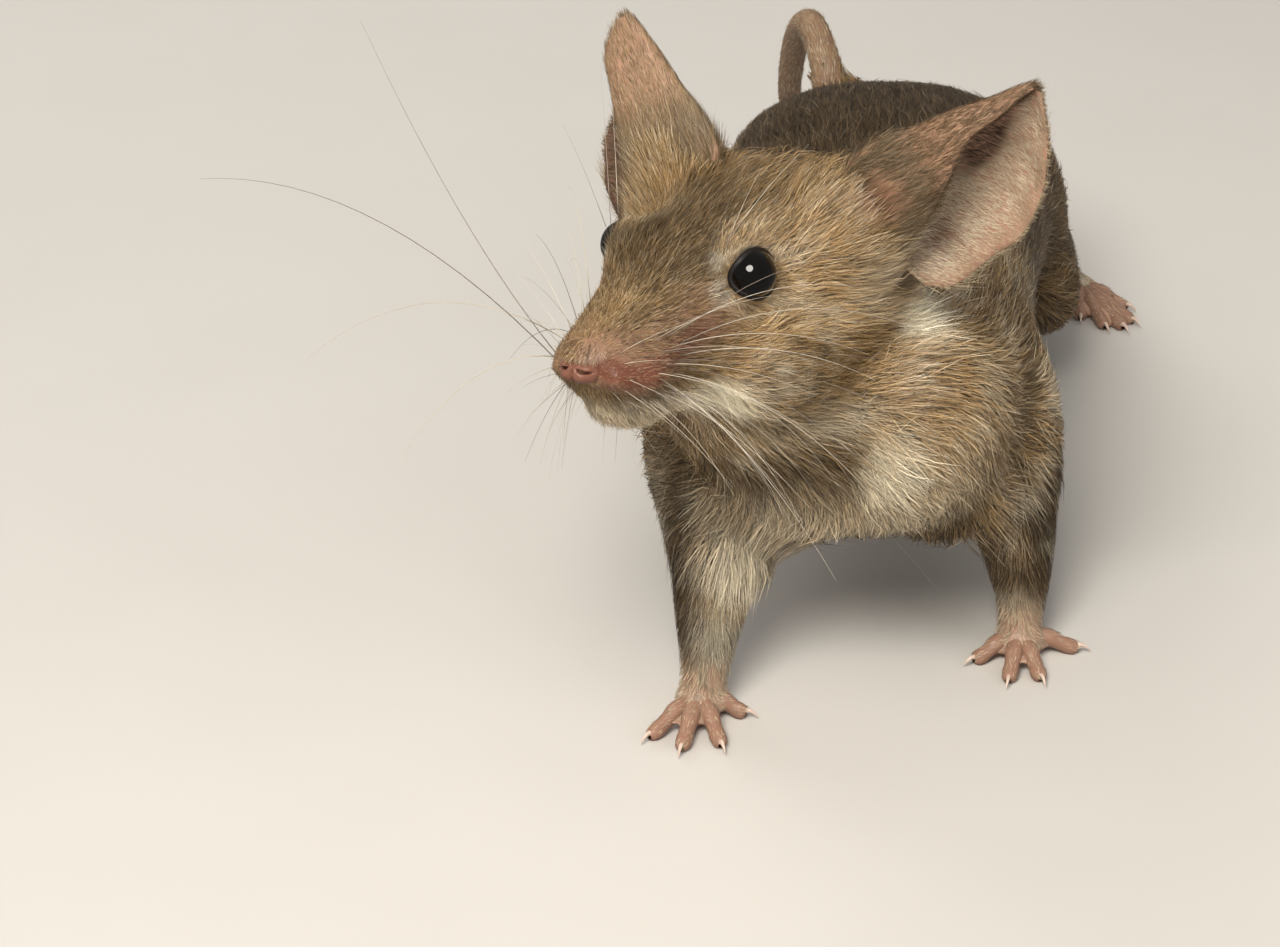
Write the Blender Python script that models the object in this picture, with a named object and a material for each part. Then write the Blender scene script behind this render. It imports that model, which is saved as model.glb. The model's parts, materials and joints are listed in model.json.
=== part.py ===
"""A fancy mouse standing at life size, head turned to its right, as flesh nodes parted by thin cuts.

Run with: blender --background --python part.py
Design units are millimetres, x to the mouse's left, y towards its tail, z up from the floor it stands
on. Head axes start at the nose tip: x to its left, y back along the skull, z up. Millimetres become
metres in one place, at the end, where the model is also centred over the part's own origin.
"""

import math

import bmesh
import bpy
import numpy as np
from mathutils import Matrix, Vector
from mathutils.bvhtree import BVHTree

# ---------------------------------------------------------------- driving sizes, in mm
MM = 0.001
GAP = 0.3                      # clear space between neighbouring nodes

NOSE_TIP = Vector((-20.9, -18.2, 34.5))
HEAD_YAW, HEAD_PITCH, HEAD_ROLL = 37.0, -9.0, -5.0   # degrees: to its right, nose raised, tipped

EYE_RADIUS = 1.8
EYE_CENTRE = (5.0, 12.5, 4.5)  # left eye, in head axes

EAR_SKIN = 0.75                # thickness of an ear
EAR_VOXEL = 0.2                # grid on which an ear's sheet is made one solid
EAR_SOFTENING = 2
EAR_GAP = 0.45                 # clear space between an ear and the head it is cut by
EAR_TRIANGLES = 320
HEAD_COPY_TRIANGLES = 3000     # of the swollen head that an ear is cut by

TAIL_SIDES = 8
TAIL_NODES = 6
TAIL_STEP = 1.9                # distance between a tail length's rings
TAIL_CUT = 3.2                 # how far along the tail's line the rump ends and the first length starts
NEAREST_RING = 0.5             # no ring this near a length's end

WHISKER_RADIUS = 0.26
WHISKER_SIDES = 5
WHISKER_RINGS = 8

VOXEL = 0.34                   # grid on which the body's forms are fused
SOFTENING = 7                  # passes that round the seams between forms
BODY_TRIANGLES = 2850
RING_SIDES = 26
SHARP = 45.0                   # degrees between faces past which an edge stays sharp

# ---------------------------------------------------------------- finishes: colour, roughness
FINISHES = {
    "fur": ((0.23, 0.17, 0.12), 0.85),
    "bare_skin": ((0.62, 0.38, 0.33), 0.55),
    "ear_skin": ((0.58, 0.42, 0.35), 0.6),
    "eye_black": ((0.006, 0.005, 0.005), 0.05),
}


def turn(yaw, pitch, roll):
    """Head axes to design axes: roll about the nose line, then pitch, then yaw about the upright."""
    yawed = Matrix.Rotation(math.radians(-yaw), 4, "Z")
    pitched = Matrix.Rotation(math.radians(pitch), 4, "X")
    rolled = Matrix.Rotation(math.radians(roll), 4, "Y")
    return yawed @ pitched @ rolled


HEAD = Matrix.Translation(NOSE_TIP) @ turn(HEAD_YAW, HEAD_PITCH, HEAD_ROLL)


# ---------------------------------------------------------------- shape tools
def mesh_of(bm, place=None):
    mesh = bpy.data.meshes.new("form")
    bm.to_mesh(mesh)
    bm.free()
    if place:
        mesh.transform(place)
    return mesh


def new_object(name, mesh):
    obj = bpy.data.objects.new(name, mesh)
    bpy.context.scene.collection.objects.link(obj)
    return obj


def ring(centre, tangent, up, width, rise, drop, sides, power=2.0):
    """A cross-section: half width to each side, rise above the centre and drop below it. A power
    of 2 gives an ellipse, and more fills its corners."""
    side = tangent.cross(up).normalized()
    over = side.cross(tangent).normalized()
    points = []
    for k in range(sides):
        a = 2 * math.pi * k / sides
        x = math.copysign(abs(math.cos(a)) ** (2 / power), math.cos(a)) * width
        z = math.copysign(abs(math.sin(a)) ** (2 / power), math.sin(a))
        points.append(centre + side * x + over * z * (rise if z > 0 else drop))
    return points


def smooth_path(stations, steps):
    """Catmull-Rom through stations, which are rows of numbers, with steps to each span."""
    rows = np.array(stations, float)
    padded = np.vstack([2 * rows[0] - rows[1], rows, 2 * rows[-1] - rows[-2]])
    out = []
    for i in range(len(rows) - 1):
        a, b, c, d = padded[i:i + 4]
        for k in range(steps):
            t = k / steps
            out.append(0.5 * (2 * b + (c - a) * t + (2 * a - 5 * b + 4 * c - d) * t * t
                              + (3 * b - a - 3 * c + d) * t ** 3))
    out.append(rows[-1])
    return np.array(out)


def skin_rings(rings):
    """A closed mesh through rings of points, each end filled."""
    bm = bmesh.new()
    verts = [[bm.verts.new(p) for p in points] for points in rings]
    sides = len(verts[0])
    for a, b in zip(verts, verts[1:]):
        for k in range(sides):
            bm.faces.new((a[k], a[(k + 1) % sides], b[(k + 1) % sides], b[k]))
    bm.faces.new(verts[0][::-1])
    bm.faces.new(verts[-1])
    bmesh.ops.recalc_face_normals(bm, faces=bm.faces)
    return bm


def loft(stations, up=(0, 0, 1), place=None, steps=3, sides=RING_SIDES, power=2.0):
    """A closed form over cross-sections. A station is x, y, z, half width, rise, drop."""
    rows = smooth_path(stations, steps)
    centres = [Vector(r[:3]) for r in rows]
    last = len(rows) - 1
    rings = []
    for i, row in enumerate(rows):
        tangent = (centres[min(i + 1, last)] - centres[max(i - 1, 0)]).normalized()
        width, rise, drop = (max(float(v), 0.05) for v in row[3:6])
        rings.append(ring(centres[i], tangent, Vector(up), width, rise, drop, sides, power))
    return mesh_of(skin_rings(rings), place)


def ball(centre, radii, place=None, segments=32, rows=20):
    """An ellipsoid."""
    bm = bmesh.new()
    bmesh.ops.create_uvsphere(bm, u_segments=segments, v_segments=rows, radius=1.0)
    mesh = mesh_of(bm, Matrix.Translation(centre) @ Matrix.Diagonal((*radii, 1)))
    if place:
        mesh.transform(place)
    return mesh


def block(centre, size, turned=None):
    bm = bmesh.new()
    bmesh.ops.create_cube(bm, size=1.0)
    mesh = mesh_of(bm, Matrix.Diagonal((*size, 1)))
    if turned:
        mesh.transform(turned)
    mesh.transform(Matrix.Translation(centre))
    return mesh


# ---------------------------------------------------------------- forms of the body
def head_forms():
    """Skull, muzzle, cheeks and brow, in head axes."""
    skull = loft([
        (0, 0.15, -0.2, 0.7, 0.6, 0.6),
        (0, 0.7, -0.1, 1.6, 1.2, 1.4),
        (0, 2.2, 0.0, 2.6, 2.1, 3.0),
        (0, 4.5, 0.2, 3.4, 3.0, 4.4),
        (0, 7.5, 0.6, 4.2, 4.2, 5.6),
        (0, 11.0, 1.1, 5.2, 5.6, 7.2),
        (0, 15.0, 1.2, 6.8, 7.0, 8.2),
        (0, 19.5, 1.2, 8.6, 8.0, 8.6),
        (0, 24.0, 1.0, 9.6, 8.5, 8.6),
        (0, 28.0, 0.5, 9.6, 8.2, 8.4),
        (0, 32.0, -0.8, 8.8, 7.2, 7.8),
    ], place=HEAD)
    forms = [skull]
    for side in (1, -1):
        forms.append(ball((side * 2.0, 3.8, -1.3), (2.0, 3.0, 1.9), HEAD))      # whisker pad
        forms.append(ball((side * 5.2, 17.0, -3.0), (3.9, 6.0, 4.2), HEAD))     # cheek
        forms.append(ball((side * 3.8, 12.6, 4.0), (2.2, 3.4, 2.5), HEAD))      # round the eye
        forms.append(ball((side * 8.2, 22.8, 7.2), (3.1, 3.2, 3.5), HEAD))      # ear root
        forms.append(ball((side * 5.8, 22.8, 4.8 + side * 0.5), (5.6, 5.2, 5.5), HEAD))
    forms.append(ball((0, 0.9, 0.1), (1.5, 1.0, 1.0), HEAD))                    # nose pad
    forms.append(ball((0, 6.5, -3.8), (2.6, 4.5, 1.9), HEAD))                   # chin
    return forms


# Where the tail runs: centre line and radius. Past the arch it lies curled on the floor, sunk so far
# that it has a flat.
TAIL = [
    (0.8, 65.3, 17.0, 1.7),
    (0.0, 68.0, 19.9, 1.45),
    (-1.0, 71.6, 21.3, 1.35),
    (-1.8, 75.6, 18.8, 1.27),
    (-2.2, 79.4, 14.4, 1.2),
    (-2.2, 83.0, 9.4, 1.12),
    (-1.4, 86.8, 4.9, 1.06),
    (0.5, 90.6, 1.9, 1.0),
    (4.8, 93.0, 0.85, 0.93),
    (10.4, 92.6, 0.77, 0.85),
    (15.0, 88.8, 0.68, 0.76),
    (17.4, 82.8, 0.57, 0.65),
    (17.6, 76.2, 0.42, 0.5),
]
RUMP_START = (2.2, 61.5, 14.0, 2.6)         # the rump's own form starts here inside the trunk
RUMP_END = (-0.4, 69.6, 20.9, 1.3)          # and ends here, past the first cut
RUMP_COVER = 0.35                           # how much thicker it is than the tail there


def trunk_forms():
    body = loft([
        (-3.5, -6.0, 22.5, 5.0, 4.5, 6.0),
        (-1.8, -3.5, 22.0, 9.6, 8.0, 8.6),
        (-0.2, 2.0, 21.6, 11.6, 9.2, 9.0),
        (0.8, 10.0, 21.2, 12.2, 9.8, 9.2),
        (1.8, 20.0, 20.4, 12.5, 10.0, 10.0),
        (2.9, 32.0, 19.2, 13.3, 10.5, 10.8),
        (4.2, 43.0, 17.2, 14.0, 10.0, 10.4),
        (4.6, 52.0, 15.2, 12.8, 8.6, 8.8),
        (4.0, 59.0, 14.4, 10.8, 6.6, 6.6),
        (2.4, 64.0, 15.0, 5.6, 3.8, 4.4),
        (1.2, 66.4, 18.0, 2.2, 2.0, 2.0),
    ], power=2.35)
    neck = loft([
        (-9.0, -3.0, 32.0, 7.8, 7.4, 7.8),
        (-5.5, 2.5, 29.8, 9.4, 8.0, 9.4),
        (-2.0, 8.5, 25.8, 10.6, 8.2, 9.5),
        (0.0, 15.0, 22.5, 10.8, 8.5, 9.0),
    ])
    throat = ball((-8.0, -4.0, 25.0), (7.5, 6.5, 6.0))
    bib = ball((-4.5, -4.2, 20.5), (8.5, 4.6, 7.6))
    breast = ball((5.6, 0.3, 15.2), (5.4, 4.2, 4.4))
    rump = []
    for x, y, z, radius in (RUMP_START, *TAIL[:2], RUMP_END):
        cover = radius + RUMP_COVER
        rump.append((x, y, z, cover, cover, cover))
    return [body, neck, throat, bib, breast, loft(rump, sides=16)]


# Where each paw stands: its palm or heel, and its toes as (degrees from straight ahead, reach).
FORE_PAWS = {
    "left": ((12.3, 0.6), ((-59, 4.2), (-14, 5.1), (15, 4.9), (84, 4.5))),
    "right": ((-12.0, -7.6), ((-42, 5.6), (-14, 5.9), (16, 5.5), (72, 3.6))),
}
WRIST_X = {"left": 12.4, "right": -11.5}
SHOULDER_OUT = {"left": 0.0, "right": 1.2}   # how much further out the leading shoulder stands
HIND_HEELS = {"left": (19.4, 66.6), "right": (-9.6, 63.2)}
HIND_TURN = 26.0                # degrees that a hind foot points outwards
HIND_TOES = ((-30, 13.2), (-11, 15.2), (1, 15.8), (13, 15.4), (32, 13.4))
OUTWARDS = {"left": 1, "right": -1}


def foreleg(side):
    out = OUTWARDS[side]
    x, y = FORE_PAWS[side][0]
    shoulder = y * 0.5 + 3.8
    wrist = WRIST_X[side]
    stand = SHOULDER_OUT[side]
    return loft([
        (out * (7.5 + stand), shoulder + 4.0, 23.0, 5.5, 5.5, 5.5),
        (out * (10.3 + stand), shoulder + 2.6, 17.5, 5.1, 5.2, 5.2),
        (wrist * 0.91, y + 5.4, 12.4, 4.3, 4.1, 4.1),
        (wrist * 0.97, y + 3.0, 8.0, 3.1, 2.9, 2.9),
        (wrist, y + 1.2, 4.4, 2.15, 2.0, 2.0),
        (wrist - 0.2, y + 0.3, 2.1, 1.95, 1.8, 1.8),
    ], up=(0, -1, 0), sides=20)


def forepaw(side):
    (x, y), toes = FORE_PAWS[side]
    palm = Vector((x, y, 0))
    forms = [ball((x, y - 0.2, 1.1), (2.1, 2.0, 1.5))]
    for degrees, reach in toes:
        a = math.radians(degrees)
        ahead = Vector((math.sin(a), -math.cos(a), 0))
        forms.append(toe(palm, ahead, 0.8, reach))
    return forms


def toe(palm, ahead, start, reach):
    """A toe that arches from the palm and ends flat on the floor."""
    along = reach - start
    stations = []
    for share, lift, thick in ((0.0, 1.0, 0.75), (0.45, 1.05, 0.62), (0.8, 0.5, 0.58), (1.0, 0.2, 0.4)):
        p = palm + ahead * (start + share * along)
        stations.append((p.x, p.y, lift, thick, thick, thick))
    return loft(stations, sides=12)


def hind_leg(side):
    out = OUTWARDS[side]
    x, y = HIND_HEELS[side]
    hip = 5.0 + out * 9.0
    return [
        ball((hip, y - 18.0, 13.0), (6.4, 12.5, 9.6)),
        loft([
            (hip + out * 1.4, y - 30.0, 10.4, 1.2, 1.4, 1.4),
            (hip + out * 2.0, y - 28.6, 10.2, 2.9, 3.4, 3.4),
            (hip + out * 2.4, y - 25.0, 10.0, 4.2, 5.0, 5.0),
            (hip + out * 3.0, y - 16.0, 9.0, 4.4, 5.0, 5.0),
            (x - out * 1.6, y - 7.0, 6.4, 3.4, 3.6, 3.6),
            (x - out * 0.2, y - 0.8, 3.3, 1.8, 2.0, 2.0),
        ], up=(0, -1, 0), sides=20),
    ]


def hind_foot(side):
    out = OUTWARDS[side]
    heel = Vector((*HIND_HEELS[side], 0))
    a = math.radians(out * HIND_TURN)
    ahead = Vector((math.sin(a), -math.cos(a), 0))
    stations = []
    for along, lift, width, rise, drop in ((0, 1.5, 1.2, 1.2, 1.7), (5, 1.2, 1.5, 1.1, 1.5),
                                           (9, 1.1, 2.0, 1.1, 1.4), (11, 0.9, 1.9, 0.9, 1.2)):
        p = heel + ahead * along
        stations.append((p.x, p.y, lift, width, rise, drop))
    forms = [loft(stations, sides=16)]
    for degrees, reach in HIND_TOES:
        b = a + math.radians(out * degrees)
        fan = Vector((math.sin(b), -math.cos(b), 0))
        forms.append(toe(heel + ahead * 8.6, fan, 0.8, reach - 8.6))
    return forms


def body_forms():
    forms = head_forms() + trunk_forms()
    for side in OUTWARDS:
        forms.append(foreleg(side))
        forms += forepaw(side) + hind_leg(side) + hind_foot(side)
    return forms


# ---------------------------------------------------------------- tail
def tail_rows():
    """The tail's centre line and radius at even steps."""
    fine = smooth_path(TAIL, 24)
    run = np.r_[0, np.cumsum(np.linalg.norm(np.diff(fine[:, :3], axis=0), axis=1))]
    even = np.linspace(0, run[-1], round(run[-1] / TAIL_STEP) + 1)
    return np.column_stack([np.interp(even, run, fine[:, k]) for k in range(4)]), even


def tail_meshes():
    """The tail's lengths, each a tube whose ends stop half a gap short."""
    rows, run = tail_rows()
    bounds = np.linspace(TAIL_CUT, run[-1], TAIL_NODES + 1)
    meshes = []
    for start, end in zip(bounds, bounds[1:]):
        start += GAP / 2
        end -= GAP / 2 if end < run[-1] else 0
        inner = run[(run > start + NEAREST_RING) & (run < end - NEAREST_RING)]
        at = np.r_[start, inner, end]
        points = np.column_stack([np.interp(at, run, rows[:, k]) for k in range(4)])
        rings = []
        for i, row in enumerate(points):
            ahead = Vector(points[min(i + 1, len(points) - 1), :3] - points[max(i - 1, 0), :3])
            radius = float(row[3])
            rings.append(ring(Vector(row[:3]), ahead.normalized(), Vector((1, 0, 0)),
                              radius, radius, radius, TAIL_SIDES))
        meshes.append(mesh_of(skin_rings(rings)))
    return meshes


# ---------------------------------------------------------------- ears
# Root, tip and the way the cup faces, in head axes. A station is: distance along the ear, then the
# front edge, the ridge and the rear margin across it, how far the front edge stands proud, and the
# depth of the bowl.
EARS = {
    "left": ((10.1, 22.5, 8.9), (20.0, 23.9, 17.8), (0.35, -0.9, -0.25), [
        (-3.2, 3.2, -2.0, 6.8, 0.6, 1.0),
        (-1.6, 3.0, -3.0, 8.2, 1.4, 2.2),
        (1.3, 2.5, -3.6, 8.2, 2.0, 3.2),
        (4.4, 1.35, -2.6, 8.2, 2.0, 3.4),
        (7.6, -0.1, -1.85, 6.8, 1.3, 2.8),
        (10.3, -0.05, -1.0, 4.6, 0.8, 1.8),
        (12.4, -0.05, -0.5, 2.1, 0.4, 0.9),
        (13.4, 0.1, -0.2, 0.6, 0.2, 0.3),
    ]),
    "right": ((-9.0, 22.5, 7.7), (-14.5, 24.6, 17.3), (-0.2, -0.97, 0.1), [
        (-2.6, 1.5, -4.0, 6.2, 1.0, 1.0),
        (-0.6, 1.8, -5.2, 7.2, 1.8, 1.8),
        (2.0, 1.9, -4.4, 7.2, 1.8, 2.4),
        (4.6, 1.9, -3.1, 5.7, 1.6, 2.4),
        (7.0, 1.9, -2.1, 2.6, 1.3, 1.8),
        (9.0, 2.1, -1.3, 2.1, 0.9, 1.2),
        (10.5, 1.2, -0.7, 1.2, 0.5, 0.6),
        (11.2, 0.4, -0.3, 0.5, 0.2, 0.2),
    ]),
}


def ear_axes(side):
    root, tip, facing, _ = EARS[side]
    root, along = Vector(root), Vector(tip) - Vector(root)
    along.normalize()
    facing = Vector(facing)
    facing = (facing - along * facing.dot(along)).normalized()
    across = along.cross(facing) * OUTWARDS[side]
    return root, along, across, facing


def ear_sheet(side, rows=4, columns=5):
    """The ear's middle surface: rolled front edge, ridge, bowl and rear margin."""
    root, along, across, facing = ear_axes(side)
    bm = bmesh.new()
    grid = []
    for s, edge, ridge, margin, proud, depth in smooth_path(EARS[side][3], rows):
        ridge = min(ridge, edge - 0.1)
        profile = [
            (edge, proud),
            (0.65 * edge + 0.35 * ridge, proud * 0.75),
            (ridge, -0.1 * depth),
            (ridge + 0.30 * (margin - ridge), -0.85 * depth),
            (ridge + 0.62 * (margin - ridge), -depth),
            (margin, -0.35 * depth),
        ]
        line = []
        for w, n in smooth_path(profile, columns):
            line.append(bm.verts.new(HEAD @ (root + along * s + across * w + facing * n)))
        grid.append(line)
    for a, b in zip(grid, grid[1:]):
        for k in range(len(a) - 1):
            bm.faces.new((a[k], a[k + 1], b[k + 1], b[k]))
    bmesh.ops.recalc_face_normals(bm, faces=bm.faces)
    return mesh_of(bm)


def ear(side, around):
    """A cupped sheet with thickness, cut clear of the head."""
    sheet = new_object("sheet", ear_sheet(side))
    thick = sheet.modifiers.new("Skin", "SOLIDIFY")
    thick.thickness = EAR_SKIN
    thick.offset = 0.0
    thick.use_even_offset = True
    thick.use_rim = True
    bake(sheet)
    obj = united("ear_" + side, [sheet.data], EAR_TRIANGLES, EAR_VOXEL, EAR_SOFTENING)
    bpy.data.objects.remove(sheet)
    subtract(obj, around)
    bake(obj)
    keep_largest(obj)
    return obj


# ---------------------------------------------------------------- whiskers
# Tips of the longest whiskers, in design axes. Each springs from its pad and bows to its tip.
WHISKER_PADS = {"left": (3.3, 4.6, -1.2), "right": (-3.3, 4.6, -1.2)}
PAD_RADIUS = 1.7
WHISKERS = {
    "left": [((2.2, -22.0, 36.5), 1.0), ((3.9, -24.0, 20.0), 3.0), ((-3.4, -26.0, 22.5), 2.0)],
    "right": [((-48.0, 5.0, 37.2), 4.0), ((-35.5, 0.0, 51.5), -2.0), ((-40.5, 0.0, 25.2), 4.0),
              ((-33.6, -5.0, 19.7), 3.0)],
}


def whisker(pad, tip, bow):
    """A whisker from inside the pad to its tip, bowed upwards."""
    pad, tip = Vector(pad), Vector(tip)
    rows = []
    for t in np.linspace(0, 1, WHISKER_RINGS):
        p = pad.lerp(tip, t) + Vector((0, 0, bow)) * 4 * t * (1 - t)
        rows.append((*p, WHISKER_RADIUS, WHISKER_RADIUS, WHISKER_RADIUS))
    return loft(rows, up=(0, 1, 0.3), steps=1, sides=WHISKER_SIDES)


# ---------------------------------------------------------------- Booleans and parting
def bake(obj):
    """The object's modifiers made into its mesh."""
    graph = bpy.context.evaluated_depsgraph_get()
    mesh = bpy.data.meshes.new_from_object(obj.evaluated_get(graph))
    obj.modifiers.clear()
    obj.data = mesh


def helper(name, mesh):
    obj = new_object(name, mesh)
    obj.hide_render = True
    obj.display_type = "WIRE"
    return obj


def cut(obj, other, operation):
    modifier = obj.modifiers.new(operation.title(), "BOOLEAN")
    modifier.operation = operation
    modifier.object = other
    modifier.solver = "EXACT"


def subtract(obj, other):
    cut(obj, other, "DIFFERENCE")


def joined(name, meshes):
    bm = bmesh.new()
    for mesh in meshes:
        bm.from_mesh(mesh)
    return new_object(name, mesh_of(bm))


def united(name, meshes, triangles, voxel=VOXEL, softening=SOFTENING):
    """Overlapping forms fused on a grid, softened, and thinned to a number of triangles."""
    obj = joined(name, meshes)
    fuse = obj.modifiers.new("Fuse", "REMESH")
    fuse.mode = "VOXEL"
    fuse.voxel_size = voxel
    soften = obj.modifiers.new("Soften", "SMOOTH")
    soften.factor = 0.5
    soften.iterations = softening
    obj.modifiers.new("Triangulate", "TRIANGULATE")
    bake(obj)
    thin = obj.modifiers.new("Thin", "DECIMATE")
    thin.ratio = triangles / len(obj.data.polygons)
    bake(obj)
    return obj


def swollen(obj, by):
    """The object made a helper, its skin moved out by a distance."""
    grow = obj.modifiers.new("Grow", "DISPLACE")
    grow.strength = by
    grow.mid_level = 0.0
    bake(obj)
    obj.hide_render = True
    obj.display_type = "WIRE"


def shell(name, centre, radii, place=None, segments=18, rows=10):
    """A cutter: the thin layer between two ellipsoids."""
    outer = ball(centre, [r + GAP / 2 for r in radii], place, segments, rows)
    inner = ball(centre, [r - GAP / 2 for r in radii], place, segments, rows)
    inner.flip_normals()
    bm = bmesh.new()
    for mesh in (outer, inner):
        bm.from_mesh(mesh)
    return helper(name, mesh_of(bm))


def plate(name, centre, facing, width, height):
    """A cutter: a thin plate square to a direction, wide along x and high along the other way."""
    turned = Vector(facing).to_track_quat("Y", "Z").to_matrix().to_4x4()
    return helper(name, block(centre, (width, GAP, height), turned))


def pieces_of(obj):
    """Loose parts of an object, as separate meshes."""
    bm = bmesh.new()
    bm.from_mesh(obj.data)
    left = set(bm.verts)
    groups = []
    while left:
        stack = [left.pop()]
        group = set(stack)
        while stack:
            for edge in stack.pop().link_edges:
                for vert in edge.verts:
                    if vert in left:
                        left.remove(vert)
                        group.add(vert)
                        stack.append(vert)
        groups.append({v.index for v in group})
    bm.free()
    meshes = []
    for group in groups:
        bm = bmesh.new()
        bm.from_mesh(obj.data)
        bm.verts.ensure_lookup_table()
        spare = [v for v in bm.verts if v.index not in group]
        bmesh.ops.delete(bm, geom=spare, context="VERTS")
        meshes.append(mesh_of(bm))
    return meshes


def volume_of(mesh):
    bm = bmesh.new()
    bm.from_mesh(mesh)
    volume = bm.calc_volume()
    bm.free()
    return volume


def keep_largest(obj):
    obj.data = max(pieces_of(obj), key=volume_of)


def holds(mesh, point):
    """Whether a closed mesh has a point inside it."""
    bm = bmesh.new()
    bm.from_mesh(mesh)
    tree = BVHTree.FromBMesh(bm)
    bm.free()
    direction = Vector((0.317, 0.211, 0.925)).normalized()
    start, crossings = Vector(point), 0
    while True:
        hit, _, _, distance = tree.ray_cast(start, direction)
        if hit is None:
            return crossings % 2 == 1
        crossings += 1
        start = hit + direction * 1e-4


def cutters():
    """Everything that parts the body: round shells for head and legs, plates for the rest."""
    made = [
        shell("part_head", (0, 9.5, 2.8), (21.5, 22.0, 13.4), HEAD),
        plate("part_neck", (-1.0, 4.6, 27.2), (0.25, 0.53, -0.85), 44.0, 42.0),
        plate("part_trunk", (2.6, 27.0, 19.0), (-0.05, 1.0, -0.1), 50.0, 50.0),
    ]
    for side, out in OUTWARDS.items():
        x, y = FORE_PAWS[side][0]
        made.append(shell("part_foreleg_" + side, (x, y + 1.0, 3.0), (6.4, 8.2, 16.5)))
        made.append(plate("part_elbow_" + side, (x, y + 4.0, 9.6), (0, 0.3, 1), 15.0, 20.0))
        made.append(plate("part_wrist_" + side, (x, y + 0.6, 3.1), (0, 0.2, 1), 12.0, 16.0))
        x, y = HIND_HEELS[side]
        hip = 5.0 + out * 16.0
        made.append(shell("part_thigh_" + side, (hip, y - 15.0, 5.0), (12.6, 22.0, 13.5)))
        made.append(plate("part_knee_" + side, (x - out * 3.0, y - 13.0, 11.1), (0, 1, 0.25), 22.0, 17.0))
        made.append(plate("part_ankle_" + side, (x, y - 6.0, 3.2), (0, -0.12, 1), 9.0, 19.0))
        pad = WHISKER_PADS[side]
        made.append(shell("part_pad_" + side, pad, (PAD_RADIUS,) * 3, HEAD, 10, 6))
    rows, run = tail_rows()
    before, at, after = (Vector([np.interp(TAIL_CUT + step, run, rows[:, k]) for k in range(3)])
                         for step in (-0.6, 0.0, 0.6))
    made.append(plate("part_tail", at, after - before, 8.0, 8.0))
    return made


def seeds():
    """A point inside each piece of the parted body, with the piece's name."""
    found = {
        "head": HEAD @ Vector((0, 15, 0)),
        "neck": Vector((-1.0, 8.0, 30.0)),
        "trunk_front": Vector((0.5, 15, 20)),
        "trunk_rear": Vector((4.5, 43, 19)),
    }
    for side, out in OUTWARDS.items():
        x, y = FORE_PAWS[side][0]
        found["foreleg_" + side] = Vector((x * 0.95, y + 5.4, 13.0))
        found["forearm_" + side] = Vector((x, y + 2.4, 6.4))
        found["forepaw_" + side] = Vector((x, y - 0.2, 1.2))
        x, y = HIND_HEELS[side]
        found["thigh_" + side] = Vector((5.0 + out * 13.0, y - 21.0, 10.0))
        found["shin_" + side] = Vector((x - out * 1.4, y - 6.5, 5.6))
        found["hind_foot_" + side] = Vector((x, y - 0.6, 1.2))
        found["whisker_pad_" + side] = HEAD @ Vector(WHISKER_PADS[side])
    return found


def part_body(body):
    """The body divided by the cutters, each piece an object with its own name. The offcut past the
    rump's cut has no name and goes."""
    for cutter in cutters():
        subtract(body, cutter)
    bake(body)
    wanted = seeds()
    for mesh in pieces_of(body):
        names = [name for name, point in wanted.items() if holds(mesh, point)]
        if names:
            new_object(names[0], mesh)
            del wanted[names[0]]
    if wanted:
        raise ValueError(f"no piece was found for {sorted(wanted)}")
    bpy.data.objects.remove(body)


# ---------------------------------------------------------------- finish
def finish_of(name):
    if name.startswith("eye"):
        return "eye_black"
    if name.startswith("ear"):
        return "ear_skin"
    if name.startswith(("forepaw", "hind_foot", "tail")):
        return "bare_skin"
    return "fur"


def paint():
    for name, (colour, roughness) in FINISHES.items():
        material = bpy.data.materials.new(name)
        material.use_nodes = True
        shader = material.node_tree.nodes["Principled BSDF"]
        shader.inputs["Base Color"].default_value = (*colour, 1.0)
        shader.inputs["Roughness"].default_value = roughness
        shader.inputs["Metallic"].default_value = 0.0
    for obj in nodes():
        obj.data.materials.clear()
        obj.data.materials.append(bpy.data.materials[finish_of(obj.name)])
        obj.data.shade_smooth()
        obj.data.set_sharp_from_angle(angle=math.radians(SHARP))


def nodes():
    return [obj for obj in bpy.data.objects if not obj.hide_render]


def settle():
    """Millimetres to metres, with the origin on the floor under the middle of the model's box."""
    corners = [v.co for obj in nodes() for v in obj.data.vertices]
    low = [min(c[k] for c in corners) for k in range(2)]
    high = [max(c[k] for c in corners) for k in range(2)]
    centre = [(a + b) / 2 for a, b in zip(low, high)]
    place = Matrix.Scale(MM, 4) @ Matrix.Translation((-centre[0], -centre[1], 0))
    for obj in nodes():
        obj.data.transform(place)


# ---------------------------------------------------------------- assembly
def eyes(body):
    """Each eye a ball, in a socket cut a gap larger."""
    x, y, z = EYE_CENTRE
    for side, out in OUTWARDS.items():
        socket = ball((out * x, y, z), (EYE_RADIUS + GAP,) * 3, HEAD, 12, 8)
        subtract(body, helper("socket_" + side, socket))
        new_object("eye_" + side, ball((out * x, y, z), (EYE_RADIUS,) * 3, HEAD, 14, 8))
    bake(body)


def ears():
    around = united("around_ears", head_forms() + trunk_forms(), HEAD_COPY_TRIANGLES)
    swollen(around, EAR_GAP)
    for side in OUTWARDS:
        ear(side, around)


def whiskers():
    """The longest whiskers, each one body with its pad."""
    for side in OUTWARDS:
        pad = bpy.data.objects["whisker_pad_" + side]
        root = HEAD @ Vector(WHISKER_PADS[side])
        for k, (tip, bow) in enumerate(WHISKERS[side]):
            cut(pad, helper(f"whisker_{side}_{k}", whisker(root, tip, bow)), "UNION")
        bake(pad)


def tail(floor):
    for k, mesh in enumerate(tail_meshes()):
        length = new_object(f"tail_{k + 1}", mesh)
        subtract(length, floor)
        bake(length)


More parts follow.
